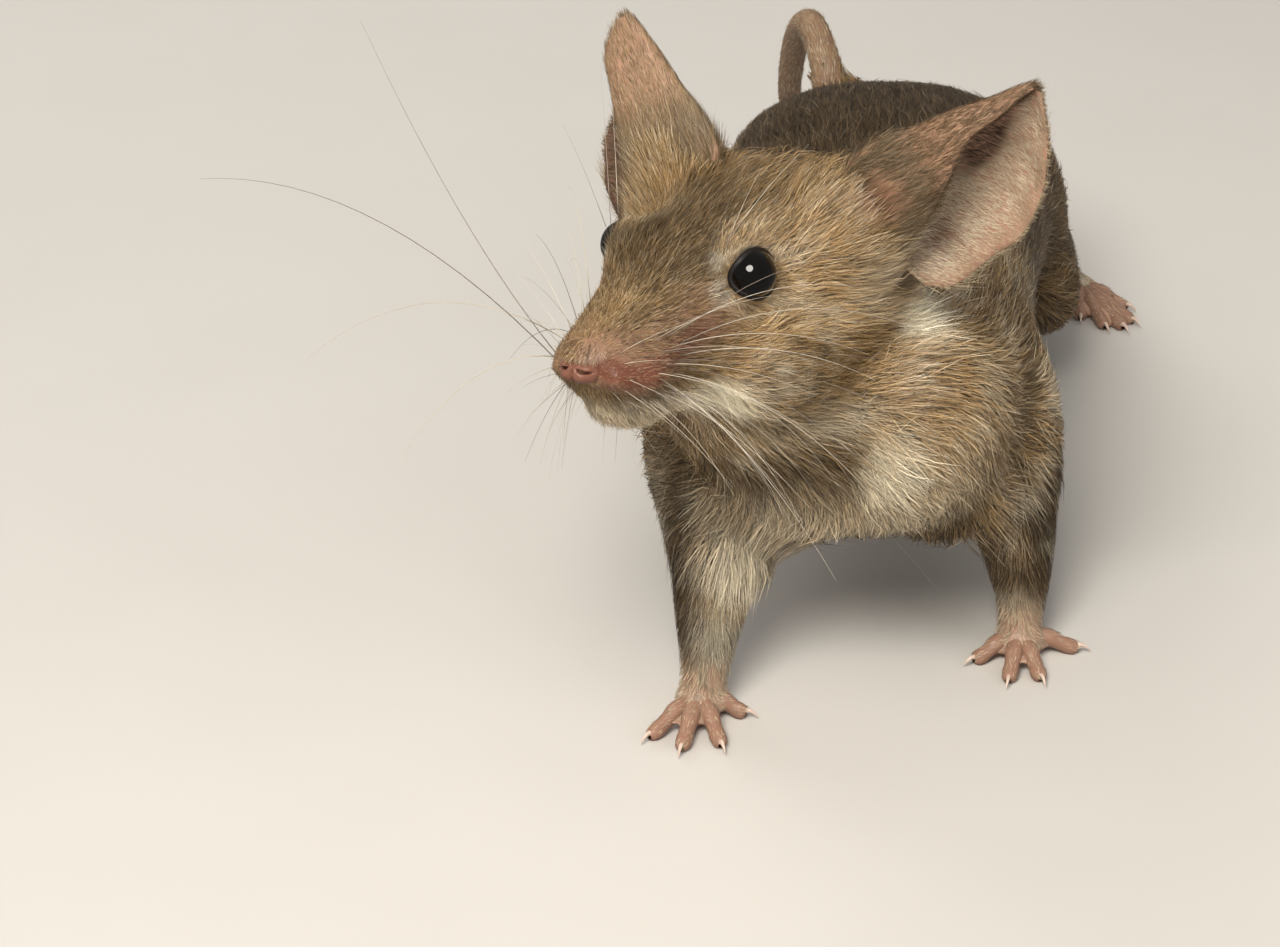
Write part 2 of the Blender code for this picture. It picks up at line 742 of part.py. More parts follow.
def main():
    for obj in list(bpy.data.objects):
        bpy.data.objects.remove(obj)

    floor = helper("floor_cutter", block((0, 40, -10), (200, 300, 20)))
    body = united("body", body_forms(), BODY_TRIANGLES)
    subtract(body, floor)
    eyes(body)
    ears()
    part_body(body)
    whiskers()
    tail(floor)
    for obj in list(bpy.data.objects):
        if obj.hide_render:
            bpy.data.objects.remove(obj)
    paint()
    settle()


main()
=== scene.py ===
# %% [markdown]
# # A fancy mouse in its coat
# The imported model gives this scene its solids: flesh parted into nodes, two eyes, two ears and a
# tail. Here they get what makes a mouse of them: one skin with lids and nostrils, a coat of short
# tufts, whiskers and claws. The flesh is read from the frame, and the rest is placed by design
# values in the same axes.

# %% Load the frame
import json
import math
from types import SimpleNamespace

import bmesh
import bpy
import numpy as np
from mathutils import Matrix, Vector

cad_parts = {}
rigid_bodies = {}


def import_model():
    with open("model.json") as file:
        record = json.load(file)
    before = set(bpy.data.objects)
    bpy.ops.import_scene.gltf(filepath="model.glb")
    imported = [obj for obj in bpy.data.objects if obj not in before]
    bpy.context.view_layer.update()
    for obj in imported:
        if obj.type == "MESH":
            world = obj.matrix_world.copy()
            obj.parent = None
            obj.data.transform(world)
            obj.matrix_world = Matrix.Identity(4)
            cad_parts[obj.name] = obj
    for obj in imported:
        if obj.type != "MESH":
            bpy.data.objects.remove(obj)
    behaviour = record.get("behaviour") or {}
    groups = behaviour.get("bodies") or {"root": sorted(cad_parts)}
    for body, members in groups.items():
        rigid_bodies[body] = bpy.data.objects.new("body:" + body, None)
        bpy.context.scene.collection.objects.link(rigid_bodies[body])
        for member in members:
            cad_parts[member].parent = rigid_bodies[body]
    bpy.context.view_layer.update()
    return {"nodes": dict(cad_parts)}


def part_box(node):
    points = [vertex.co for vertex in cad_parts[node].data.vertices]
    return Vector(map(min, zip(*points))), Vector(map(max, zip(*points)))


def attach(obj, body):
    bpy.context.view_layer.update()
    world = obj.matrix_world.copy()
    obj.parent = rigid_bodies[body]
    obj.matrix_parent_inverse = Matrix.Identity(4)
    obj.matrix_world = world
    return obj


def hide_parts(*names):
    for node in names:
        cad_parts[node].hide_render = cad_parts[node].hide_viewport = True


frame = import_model()
MM = 0.001
SIDES = {"left": 1.0, "right": -1.0}
chance = np.random.default_rng(7)

# %% [markdown]
# ## Two sets of axes
# The mouse turns its head, so a lid or a nostril is easier to place along the skull than along the
# floor. Head axes start at the nose tip: x to the mouse's left, y back along the skull, z up. Both
# sets are in millimetres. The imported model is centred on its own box, so the shift between the two
# is read from where the left eye ended up.

# %% Axes
NOSE_TIP = (-20.9, -18.2, 34.5)
HEAD_YAW, HEAD_PITCH, HEAD_ROLL = 37.0, -9.0, -5.0
EYE_RADIUS = 1.8
EYE_CENTRE = np.array([5.0, 12.5, 4.5])


def turn_matrix():
    """Roll about the nose line, then pitch, then yaw about the upright, as a 3 x 3 array."""
    yaw = Matrix.Rotation(math.radians(-HEAD_YAW), 3, "Z")
    pitch = Matrix.Rotation(math.radians(HEAD_PITCH), 3, "X")
    roll = Matrix.Rotation(math.radians(HEAD_ROLL), 3, "Y")
    return np.array(yaw @ pitch @ roll)


TURN = turn_matrix()


def from_head(points):
    """Head axes to design axes."""
    return np.asarray(points, float) @ TURN.T + NOSE_TIP


def to_head(points):
    """Design axes to head axes."""
    return (np.asarray(points, float) - NOSE_TIP) @ TURN


eye_low, eye_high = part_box("eye_left")
SHIFT = from_head(EYE_CENTRE) - np.array((eye_low + eye_high) / 2) / MM
SHIFT[2] = 0.0
print("design centre", SHIFT.round(2))

# The dressed eye sits a little further back and further out than its solid, as the lids draw it.
EYE_SET = EYE_CENTRE + (0.25, 0.45, -0.04)


def side_eye(out):
    """An eye's centre, in head axes; out is 1 for the left eye and -1 for the right."""
    return EYE_SET * (out, 1, 1)


# %% [markdown]
# ## Small tools for surfaces
# Every piece below is a grid of points worked out with numpy, or a tube carried along a path. One
# function turns points and faces into a mesh, whose attributes carry the markings that both the
# skin's and the coat's materials read.

# %% Mesh tools
def triangles(faces):
    """Quads made pairs of triangles; triangles stay."""
    faces = np.asarray(faces)
    if faces.shape[1] == 3:
        return faces
    return np.concatenate([faces[:, [0, 1, 2]], faces[:, [0, 2, 3]]])


def outward(points, faces, inside=None):
    """The faces, turned round if the cones from a point inside to each of them sum to less than 0."""
    corners = points[triangles(faces)] - (points.mean(0) if inside is None else inside)
    volume = (corners[:, 0] * np.cross(corners[:, 1], corners[:, 2])).sum()
    return points, faces if volume > 0 else faces[:, ::-1]


def unit(vectors):
    """Vectors scaled to length one."""
    return vectors / np.maximum(np.linalg.norm(vectors, axis=-1, keepdims=True), 1e-9)


def smoothstep(low, high, value):
    """0 below low, 1 above high, and an S-shaped ramp between."""
    t = np.clip((value - low) / (high - low), 0, 1)
    return t * t * (3 - 2 * t)


def add_attribute(mesh, name, values):
    """A vector for each vertex, which a material reads by name."""
    layer = mesh.attributes.new(name, "FLOAT_VECTOR", "POINT")
    layer.data.foreach_set("vector", np.asarray(values, np.float32).ravel())


def set_points(mesh, points):
    """Design points in mm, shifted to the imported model's origin and given to a mesh's vertices."""
    mesh.vertices.foreach_set("co", ((np.asarray(points) - SHIFT) * MM).astype(np.float32).ravel())
    mesh.update()


def mesh_of(points, faces, attributes=None):
    """A mesh from design points in mm and an array of triangles or quads."""
    mesh = bpy.data.meshes.new("surface")
    faces = np.asarray(faces, np.int32)
    mesh.vertices.add(len(points))
    set_points(mesh, points)
    mesh.loops.add(faces.size)
    mesh.loops.foreach_set("vertex_index", faces.ravel())
    mesh.polygons.add(len(faces))
    mesh.polygons.foreach_set("loop_start", np.arange(len(faces), dtype=np.int32) * faces.shape[1])
    mesh.polygons.foreach_set("use_smooth", np.ones(len(faces), bool))
    mesh.update(calc_edges=True)
    for name, values in (attributes or {}).items():
        add_attribute(mesh, name, values)
    return mesh


def points_of(mesh):
    """A mesh's vertices in design mm."""
    co = np.empty(len(mesh.vertices) * 3, np.float32)
    mesh.vertices.foreach_get("co", co)
    return co.reshape(-1, 3).astype(float) / MM + SHIFT


def normals_of(mesh):
    """A mesh's vertex normals."""
    n = np.empty(len(mesh.vertices) * 3, np.float32)
    mesh.vertex_normals.foreach_get("vector", n)
    return n.reshape(-1, 3).astype(float)


def add_object(name, mesh):
    """A mesh, lamp or camera put into the scene at the origin."""
    obj = bpy.data.objects.new(name, mesh)
    bpy.context.scene.collection.objects.link(obj)
    return obj


def finished(obj):
    """The mesh that an object's modifiers make of it; the object itself is removed."""
    graph = bpy.context.evaluated_depsgraph_get()
    mesh = bpy.data.meshes.new_from_object(obj.evaluated_get(graph))
    bpy.data.objects.remove(obj)
    return mesh


# %% Grids and tubes
def grid_faces(rows, columns, wrap=False):
    """Quads between neighbouring points of a grid; wrap joins its last column to its first."""
    r, c = np.meshgrid(np.arange(rows - 1), np.arange(columns if wrap else columns - 1), indexing="ij")
    d = (c + 1) % columns
    quads = [r * columns + c, r * columns + d, (r + 1) * columns + d, (r + 1) * columns + c]
    return np.stack(quads, -1).reshape(-1, 4)


def closed(faces, rows, columns):
    """A wrapped grid's faces as triangles, with a fan across its first and its last row."""
    first = np.arange(columns)
    fans = []
    for ring, flip in ((first, True), (first + (rows - 1) * columns, False)):
        fan = np.stack([np.full(columns - 2, ring[0]), ring[1:-1], ring[2:]], -1)
        fans.append(fan[:, ::-1] if flip else fan)
    return np.concatenate([triangles(faces), *fans])


def ball(centre=(0, 0, 0), radii=(1, 1, 1), rows=16, columns=24):
    """A closed ellipsoid: latitude by longitude, both poles shut."""
    v, u = np.meshgrid(np.linspace(np.pi - 0.02, 0.02, rows),
                       2 * np.pi * np.arange(columns) / columns, indexing="ij")
    shell = np.stack([np.sin(v) * np.cos(u), np.sin(v) * np.sin(u), np.cos(v)], -1)
    points = (shell * radii + np.array(centre)).reshape(-1, 3)
    return points, closed(grid_faces(rows, columns, wrap=True), rows, columns)


def spline(rows, steps):
    """Catmull-Rom through rows of numbers, with steps to each span."""
    rows = np.array(rows, float)
    padded = np.vstack([2 * rows[0] - rows[1], rows, 2 * rows[-1] - rows[-2]])
    span = np.repeat(np.arange(len(rows) - 1), steps)
    t = np.tile(np.arange(steps) / steps, len(rows) - 1)[:, None]
    a, b, c, d = (padded[span + k] for k in range(4))
    curve = 0.5 * (2 * b + (c - a) * t + (2 * a - 5 * b + 4 * c - d) * t ** 2
                   + (3 * b - a - 3 * c + d) * t ** 3)
    return np.vstack([curve, rows[-1:]])


def tube(path, radii, sides):
    """Rings carried along paths, each ring square to its path, with the ends drawn to a point.

    path is (tubes, rings, 3) and radii (tubes, rings); the points come back as one list.
    """
    ahead = unit(np.gradient(path, axis=1))
    side = unit(np.cross(ahead, (0.31, 0.17, 0.93)))
    over = np.cross(side, ahead)
    a = -2 * np.pi * np.arange(sides) / sides
    rings = (path[:, :, None] + radii[:, :, None, None]
             * (side[:, :, None] * np.cos(a)[:, None] + over[:, :, None] * np.sin(a)[:, None]))
    tubes, count = path.shape[:2]
    faces = grid_faces(count, sides, wrap=True)
    every = (np.arange(tubes) * count * sides)[:, None, None]
    return rings.reshape(-1, 3), (faces[None] + every).reshape(-1, 4)


# %% [markdown]
# ## The skin
# Under the coat the real animal has one unbroken skin. The solids are parted by thin cuts, so each
# is first swollen by more than half a cut, then all of them are fused on a fine grid and smoothed,
# and the result is drawn in again by the same amount and by the depth of the coat. That closes
# every seam and leaves room for the hair.

# %% Fuse the flesh
SWELL = 0.25
GRID = 0.3
SOFTEN_ROUNDS = 14
WELD = 1e-7
FUSED = [n for n in frame["nodes"] if not n.startswith(("eye", "ear", "whisker", "tail"))]
PAD_LUMP, PAD_LUMP_RADII = np.array([3.3, 4.6, -1.2]), (2.2, 2.3, 2.2)
SOCKET_RADII = (2.25, 2.25, 2.25)


def swollen(mesh):
    """A copy of a solid's mesh with its doubles merged, and each point moved out by SWELL."""
    part = bmesh.new()
    part.from_mesh(mesh)
    bmesh.ops.remove_doubles(part, verts=part.verts, dist=WELD)
    part.normal_update()
    for vert in part.verts:
        vert.co += vert.normal * SWELL * MM
    result = bpy.data.meshes.new("part")
    part.to_mesh(result)
    part.free()
    return result


def fused_flesh():
    """The flesh nodes, swollen, and a lump under each whisker pad and eye, fused and smoothed."""
    whole = bmesh.new()
    for name in FUSED:
        whole.from_mesh(swollen(frame["nodes"][name].data))
    for out in SIDES.values():
        for centre, radii in ((PAD_LUMP * (out, 1, 1), PAD_LUMP_RADII), (side_eye(out), SOCKET_RADII)):
            points, faces = ball(centre, radii)
            whole.from_mesh(mesh_of(from_head(points), faces))
    mesh = bpy.data.meshes.new("flesh")
    whole.to_mesh(mesh)
    obj = add_object("flesh", mesh)
    fuse = obj.modifiers.new("Fuse", "REMESH")
    fuse.mode = "VOXEL"
    fuse.voxel_size = GRID * MM
    soften = obj.modifiers.new("Soften", "SMOOTH")
    soften.factor = 0.5
    soften.iterations = SOFTEN_ROUNDS
    return finished(obj)


flesh = fused_flesh()
print("flesh fused:", len(flesh.vertices), "points")

# %% [markdown]
# ## Where each thing lies
# One set of functions of place says how long the coat is, which way it lies, how dark it is and
# where the skin is bare. The skin and the tufts both ask these functions, so they can't disagree.
# Each is a blend of a few soft-edged regions: a distance run through a smooth ramp.

# %% Soft regions
def blob(points, centre, radii, soft=0.5):
    """1 inside an ellipsoid, fading to 0 a share of its size outside."""
    d = np.linalg.norm((points - centre) / radii, axis=-1)
    return 1 - smoothstep(1 - soft, 1 + soft, d)


def folded(h):
    """Head points with the right half turned over onto the left."""
    return np.stack([np.abs(h[:, 0]), h[:, 1], h[:, 2]], -1)


def both(h, centre, radii, soft=0.5):
    """A region and its mirror image on the other side of the head."""
    return blob(folded(h), centre, radii, soft)


def fainter(h, share):
    """1 on the left of the head and a smaller share on its right, where markings are weaker."""
    return np.where(h[:, 0] > 0, 1.0, share)


def wave(points, scale, seed):
    """Soft noise, mostly between -1 and 1: seven waves in fixed random directions, summed."""
    pick = np.random.default_rng(seed)
    total = np.zeros(len(points))
    for _ in range(7):
        way = unit(pick.normal(size=3)) * 2 * np.pi / (scale * pick.uniform(0.6, 1.6))
        total += np.sin(points @ way + pick.uniform(0, 2 * np.pi))
    return total / 4


# %% Head and legs
FORE = {"left": (12.3, 0.6), "right": (-12.0, -7.6)}
HIND = {"left": (19.4, 66.6), "right": (-9.6, 63.2)}


def head_share(h):
    """1 on the head, 0 behind the neck, by how far back along the skull a point is."""
    back = h[:, 1] + 0.25 * (h[:, 2] + 8) * (h[:, 2] < -8)
    near = 1 - smoothstep(9.5, 16.0, np.abs(h[:, 0]))
    return (1 - smoothstep(25, 33, back)) * near * smoothstep(-15.0, -10.0, h[:, 2])


def leg_share(p, h):
    """1 on each foreleg below the elbow."""
    low = 1 - smoothstep(12.0, 17.0, p[:, 2])
    front = 1 - smoothstep(9.0, 13.0, p[:, 1])
    return low * front * (1 - head_share(h))


def hind_share(p):
    """1 low on the hind legs."""
    return (1 - smoothstep(6.0, 12.0, p[:, 2])) * smoothstep(40.0, 48.0, p[:, 1])


# %% [markdown]
# An eye's opening is an angle from its gaze that changes round the eye, so one formula serves the
# skin, the lids and the bare rim. The mouth and the flushed stripe beside the nose are lines of
# points, and what counts is how far from them a place lies.

# %% Eye openings
GAZE = unit(np.array([0.93, -0.34, 0.24]))
RIGHT_OPEN = 0.84


def eye_axes(out):
    """The way an eye looks, the way from its front corner to its back one, and up between them."""
    gaze = GAZE * (out, 1, 1)
    corner = unit(np.cross(np.cross(gaze, (0.0, 1.0, 0.02)), gaze))
    return gaze, corner, np.cross(gaze, corner) * out


def lid_edge(share, out):
    """The opening's half angle by the angle round the gaze: rounder than long, with the front
    corner drawn out. The right eye is held a little less open."""
    front = np.maximum(-np.cos(share), 0)
    edge = 1.34 - 0.24 * np.sin(share) ** 2 + 0.12 * front ** 8 - 0.40 * (front * np.sin(share)) ** 2
    return edge * (1.0 if out > 0 else RIGHT_OPEN)


def opening(direction, out):
    """How far inside the lids' edge a direction from the eye's centre is: above 0 is open."""
    gaze, corner, up = eye_axes(out)
    a, b, c = direction @ corner, direction @ up, direction @ gaze
    return lid_edge(np.arctan2(b, a), out) - np.arctan2(np.hypot(a, b), c)


def lid_share(h, start=-0.26, full=-0.16):
    """1 on the bare rim round each eye, or on a wider ring that fades in from start to full."""
    share = np.zeros(len(h))
    for out in SIDES.values():
        off = h - side_eye(out)
        rim = smoothstep(start, full, opening(unit(off), out))
        share = np.maximum(share, rim * smoothstep(3.6, 2.9, np.linalg.norm(off, axis=1)))
    return share


# %% Nose pad, mouth and the stripe beside the nose
PAD_CENTRE, PAD_RADII = np.array([0.0, 1.02, -0.55]), np.array([1.52, 1.2, 0.88])
MOUTH = np.array([(0.0, 0.9, -1.6), (0.0, 1.7, -2.5), (0.0, 2.0, -3.2), (1.2, 2.5, -3.55),
                  (2.2, 3.7, -3.75), (2.6, 5.2, -3.85), (2.8, 7.0, -3.9)])
MOUTH_WIDTH = 0.30
STRIPE = np.array([(1.7, 1.0, -0.1), (3.1, 2.6, -0.8), (4.3, 4.5, -0.6), (4.1, 7.2, 0.5),
                   (4.3, 9.2, 1.4)])
FAR_OFF = 9.0


def off_line(h, line):
    """Distance from a line of points and from its mirror image on the other side of the head."""
    here = folded(h)
    nearest = np.full(len(h), FAR_OFF)
    for a, b in zip(line, line[1:]):
        t = np.clip(((here - a) @ (b - a)) / ((b - a) @ (b - a)), 0, 1)[:, None]
        nearest = np.minimum(nearest, np.linalg.norm(here - a - t * (b - a), axis=1))
    return nearest


def mouth_line(h):
    """1 on the cleft under the nose and the line of the lips, 0 away from them."""
    return np.exp(-(off_line(h, MOUTH) / MOUTH_WIDTH) ** 2)


def bare_share(p, h):
    """1 where no hair grows: nose pad, soles and the lids' rims."""
    nose = blob(h, PAD_CENTRE - (0, 0.5, 0.1), PAD_RADII * (0.95, 1, 0.9), 0.12)
    fore = 1 - smoothstep(0.7, 1.5, p[:, 2])
    hind = (1 - smoothstep(1.2, 2.2, p[:, 2])) * (p[:, 1] > 40)
    return np.clip(np.maximum.reduce([nose, fore * (p[:, 1] < 40), hind, lid_share(h)]), 0, 1)


# %% [markdown]
# A mouse's hair is shortest round the nose and eyes and on the paws, and longest on the back. Its
# length is read off three short lists: back along the head, up a foreleg, and up a hind leg. The
# coat's outline is where the hairs' ends lie, so the skin is drawn in by a share of their length.

# %% Length of the coat
HEAD_HAIR = (0, 2, 4, 7, 12, 18, 26, 34), (0.36, 0.46, 0.76, 1.02, 1.4, 2.1, 2.9, 3.8)
LEG_HAIR = (1.0, 3.0, 6, 12, 18), (0.45, 0.9, 1.6, 2.6, 4.0)
SHANK_HAIR = (1.5, 4, 8, 14), (0.5, 1.2, 2.6, 4.1)
TRUNK_HAIR = 4.1
LIP_HAIR = (2.2, 4.2, -2.8), (2.6, 4.8, 1.6), 0.5
OVER_PAD = (0.0, 0.9, 0.85), (1.7, 1.1, 0.75), 0.5


def coat_length(p, h):
    """Length of a tuft in mm."""
    head = head_share(h)
    along = np.interp(h[:, 1], *HEAD_HAIR)
    along = along * (1 + 0.45 * smoothstep(0, 8, -h[:, 2]) * smoothstep(8, 16, h[:, 1]))
    eye = np.maximum(*(blob(h, side_eye(out), (3.6,) * 3, 0.4) for out in SIDES.values()))
    along = along * (1 - 0.45 * eye) + 0.60 * both(h, *LIP_HAIR)
    trunk = TRUNK_HAIR + 0.9 * blob(p, (0, 0, 12), (14, 12, 9), 0.5)
    length = head * along + (1 - head) * trunk
    legs, hinds = leg_share(p, h), hind_share(p)
    length = length * (1 - legs) + legs * np.interp(p[:, 2], *LEG_HAIR)
    return length * (1 - hinds) + hinds * np.interp(p[:, 2], *SHANK_HAIR)


def coat_depth(p, h):
    """How far the skin lies inside the coat's outline, in mm."""
    return (0.05 + 0.19 * coat_length(p, h)) * (1 - bare_share(p, h))


# %% [markdown]
# The coat streams back from the nose and parts round each eye. It falls down the breast and the
# legs, and a slow swirl is added so that it never looks combed.

# %% Lie of the coat
def lie_on_head(h):
    """Away from a point in front of the nose, down over the lips and round the eyes."""
    spread = h - (0.0, -5.0, 0.5)
    spread = spread * (0.8, 1.0, 0.75) - (0, 0, 1.0) * smoothstep(0, 9, -h[:, 2])[:, None]
    spread = unit(spread) - (0, 0, 0.9) * both(h, (2.4, 4.6, -2.6), (2.4, 4.6, 1.5), 0.5)[:, None]
    over = both(h, *OVER_PAD)[:, None]
    spread = spread * (1 - over) + over * (0.0, -0.7, -0.7)
    around = np.zeros_like(h)
    for out in SIDES.values():
        near = blob(h, side_eye(out), (3.2,) * 3, 0.5)[:, None]
        around = around + near * unit(h - side_eye(out)) * 0.9
    return unit(unit(spread) + around)


def lie_on_body(p, h):
    """Back along the trunk, down over the breast, and down each leg."""
    body = np.tile([0.0, 1.0, -0.12], (len(p), 1))
    body[:, 2] -= 0.55 * smoothstep(22, 10, p[:, 2])
    chest = blob(p, (-1, -6, 20), (13, 8, 10), 0.5)[:, None]
    fall = np.stack([0.05 * (p[:, 0] - 0.5), np.full(len(p), 0.15), np.full(len(p), -1.0)], -1)
    body = unit(body) * (1 - chest) + chest * unit(fall)
    legs, hinds = leg_share(p, h)[:, None], hind_share(p)[:, None]
    body = body * (1 - legs) + legs * unit(np.array([0.0, 0.25, -1.0]))
    return body * (1 - hinds) + hinds * unit(np.array([0.0, -0.3, -1.0]))


def lie(p, h):
    """The way that the coat lies, as unit vectors not yet flattened onto the skin."""
    head = head_share(h)[:, None]
    way = unit(lie_on_head(h) @ TURN.T * head + lie_on_body(p, h) * (1 - head))
    swirl = np.stack([0.15 * wave(p, 5.0, 11 + k) + 0.10 * wave(p, 1.3, 14 + k) for k in range(3)], -1)
    return unit(way + swirl)


# %% [markdown]
# ## Markings
# An agouti coat is grey at the root, tan further up and dark at the tip. It is greyest on the
# forehead and back, warmest on the cheeks, and cream under the chin and down the breast. Six
# numbers hold that for each point: how cream, buff and dark its hair is, how pink and red the skin
# shows, and how deep in shade it lies. The materials turn them into colour, so the skin and the
# coat carry the same markings. Most of them start as soft spots, each a centre, radii and softness.

# %% Spots
HEAD_SPOTS = {  # on both sides of the head, in head axes
    "lip": ((3.6, 10.9, -4.4), (2.7, 3.5, 1.8), 0.4),
    "under_cheek": ((5.2, 16.0, -6.2), (3.0, 6.5, 1.8), 0.5),
    "eye_corner": ((4.3, 10.3, 3.3), (1.1, 0.9, 0.7), 0.4),
    "brow": ((4.6, 13.6, 7.0), (2.2, 3.4, 1.4), 0.6),
    "tuft": ((9.3, 26.5, -1.2), (1.7, 2.2, 2.0), 0.5),
    # painted light: paler below the ear, where the ear shades the head
    "temple": ((9.6, 21.6, 2.4), (2.2, 3.0, 2.4), 0.6),
    "mouth": ((2.8, 3.2, -2.0), (2.4, 2.8, 1.0), 0.5),
    "cheek": ((6.0, 17.5, -0.5), (6.5, 7.5, 5.5), 0.6),
    "snout": ((2.6, 4.8, 0.8), (2.6, 4.6, 2.6), 0.5),
    "jaw": ((8.0, 14.6, -2.6), (2.8, 4.4, 2.4), 0.5),
    "nose_top": ((0.6, 2.0, 1.0), (2.2, 2.4, 1.6), 0.5),
    # painted shade in the hollow at the foot of each ear
    "ear_root": ((9.6, 24.2, 3.6), (1.3, 2.0, 2.6), 0.5),
}
BODY_SPOTS = {  # once each, in design axes
    "breast": ((-1.5, -7.0, 18.5), (9.0, 6.0, 5.5), 0.5),
    "patch": ((0.2, -8.2, 21.8), (2.2, 4.0, 2.2), 0.6),
    "upper_patch": ((-3.2, -8.3, 25.0), (2.6, 2.4, 1.2), 0.5),
    # painted shadow under the chin
    "throat": ((-7.5, -8.5, 21.2), (6.0, 5.0, 3.2), 0.6),
    "shoulder": ((9.0, 0.0, 24.0), (8, 12, 9), 0.6),
    "right_elbow": ((-9.2, -5.6, 12.3), (2.5, 3.0, 3.8), 0.5),
    "right_shin": ((-10.6, -6.8, 6.0), (1.8, 2.4, 4.0), 0.5),
    "left_wrist": ((11.2, -1.2, 3.6), (3.4, 3.2, 2.2), 0.5),
}
NAPE = (1.0, 24.0, 7.5), (7.0, 6.0, 3.5), 0.6
EAR_SPOT = (9.6, 21.4, 8.6), (1.8, 1.6, 2.0)
EAR_HOLLOW = (11.3, 26.2, 5.7), (1.7, 1.8, 1.2)


def flushed(h):
    """How red the thin skin is in front of the near ear and low in its hollow."""
    return np.maximum(blob(h, *EAR_SPOT, 0.5), 0.38 * blob(h, *EAR_HOLLOW, 0.5))


def outer_legs(p):
    """1 on the outer side of each foreleg: a blob round the leg, kept where it faces outward."""
    outer = np.zeros(len(p))
    for at_x, at_y in FORE.values():
        aside = smoothstep(-1.8, 1.4, np.sign(at_x) * (p[:, 0] - at_x) + 0.4 * (p[:, 1] - at_y))
        outer = np.maximum(outer, aside * blob(p, (at_x, at_y + 4, 10), (6.0, 9, 9), 0.6))
    return outer


def regions(p, h):
    """Each named region's share at each point: the spots, then bands across head and body."""
    at = SimpleNamespace(**{name: both(h, *spot) for name, spot in HEAD_SPOTS.items()},
                         **{name: blob(p, *spot) for name, spot in BODY_SPOTS.items()})
    x, y, z = folded(h).T
    left, back, up = p.T
    at.head = head_share(h)
    at.body = 1 - at.head
    at.soft, at.fine = wave(p, 4.0, 21), wave(p, 1.6, 22)
    at.blotch = wave(p, 3.2, 23) + 0.6 * wave(p, 1.3, 24)
    at.blotched = np.maximum(smoothstep(9, 14, y) * smoothstep(6.5, 3.5, z) * at.head,
                             at.body * smoothstep(20, 8, back) * smoothstep(6, 12, up))
    at.brow = at.brow * fainter(h, 0.4)
    at.ring = lid_share(h, -0.80, -0.50) * (1 - lid_share(h, -0.40, -0.28)) * fainter(h, 0.3)
    at.lip = np.maximum(at.lip, 0.22 * at.under_cheek)
    at.chin = 0.38 * smoothstep(-2.0, -3.2, z) * smoothstep(1.0, 3.0, y) * (1 - smoothstep(10, 15, y))
    crown = smoothstep(1.6, 5.0, z) * smoothstep(2.5, 7.0, y) * smoothstep(6.5, 3.2, x)
    crown = crown * (1 - 0.35 * smoothstep(13.5, 20, y))
    hindhead = smoothstep(4.0, 8.0, z) * smoothstep(14, 18, y) * smoothstep(9.0, 5.0, x)
    at.crown = np.maximum(crown, 0.34 * hindhead)
    at.bridge = at.snout * smoothstep(0.6, 2.4, z)
    at.upper_lid = lid_share(h, -0.44, -0.30) * smoothstep(4.2, 5.8, z)
    at.wrist = smoothstep(5.8, 2.8, up) * smoothstep(14, 10, back) * at.body
    at.patch = np.maximum(at.patch, 0.6 * at.upper_patch)
    at.breast = at.breast * at.body
    # Painted shade on the breast's underside, where the body shades itself: less cream and more dark.
    at.under = smoothstep(17.5, 13.5, up) * smoothstep(0, -3, back) * smoothstep(9, 6, np.abs(left - 1))
    belly = smoothstep(12.0, 8.0, up + 0.6 * at.soft) * at.body * smoothstep(3.0, 8.0, back)
    at.belly = belly * smoothstep(11.5, 7.5, np.abs(left - 4.0)) * smoothstep(60, 52, back)
    at.paws = smoothstep(3.6, 2.2, up) * at.body
    at.right_elbow = at.right_elbow * smoothstep(-11.9, -10.3, left)
    at.saddle = smoothstep(14, 27, up + 0.8 * at.soft) * smoothstep(2, 26, back)
    at.flank = smoothstep(4, 22, back) * smoothstep(2.5, 9.0, up)
    at.low_front = smoothstep(13, 7, up) * smoothstep(14, 8, back)
    at.outer_leg = outer_legs(p)
    return at


# %% Cream, buff and dark hair
def cream_share(at):
    """Pale places: lip, chin, breast, belly, wrists, and a little by the eyes and ears. Below each ear the
    head is made paler by painted light where the ear shades it, and the breast's underside keeps less cream
    under painted shade.
    """
    # lit keeps cream off the breast's underside, a painted shade.
    lit = 1 - 0.8 * at.under
    cream = np.maximum.reduce([
        at.lip, at.chin * at.head, 0.9 * at.eye_corner, 0.12 * at.brow, at.tuft, 0.26 * at.temple,
        0.17 * at.ring, 0.35 * at.wrist, 0.64 * at.patch * lit, 0.34 * at.breast * lit,
        0.5 * at.belly, 0.45 * at.paws, 0.50 * at.right_elbow, 0.30 * at.right_shin,
        0.30 * at.left_wrist, 0.32 * smoothstep(0.1, 1.0, at.blotch) * at.blotched])
    return np.clip(cream + 0.08 * at.fine * (cream > 0.1), 0, 1)


def buff_share(at, nape):
    """Warmth: most on cheeks and nape, some on shoulder and brow, least on the snout."""
    return np.clip(0.30 + 0.66 * at.cheek + 0.45 * nape + 0.30 * at.shoulder + 0.10 * at.brow
                   - 0.2 * at.snout + 0.12 * at.soft, 0, 1)


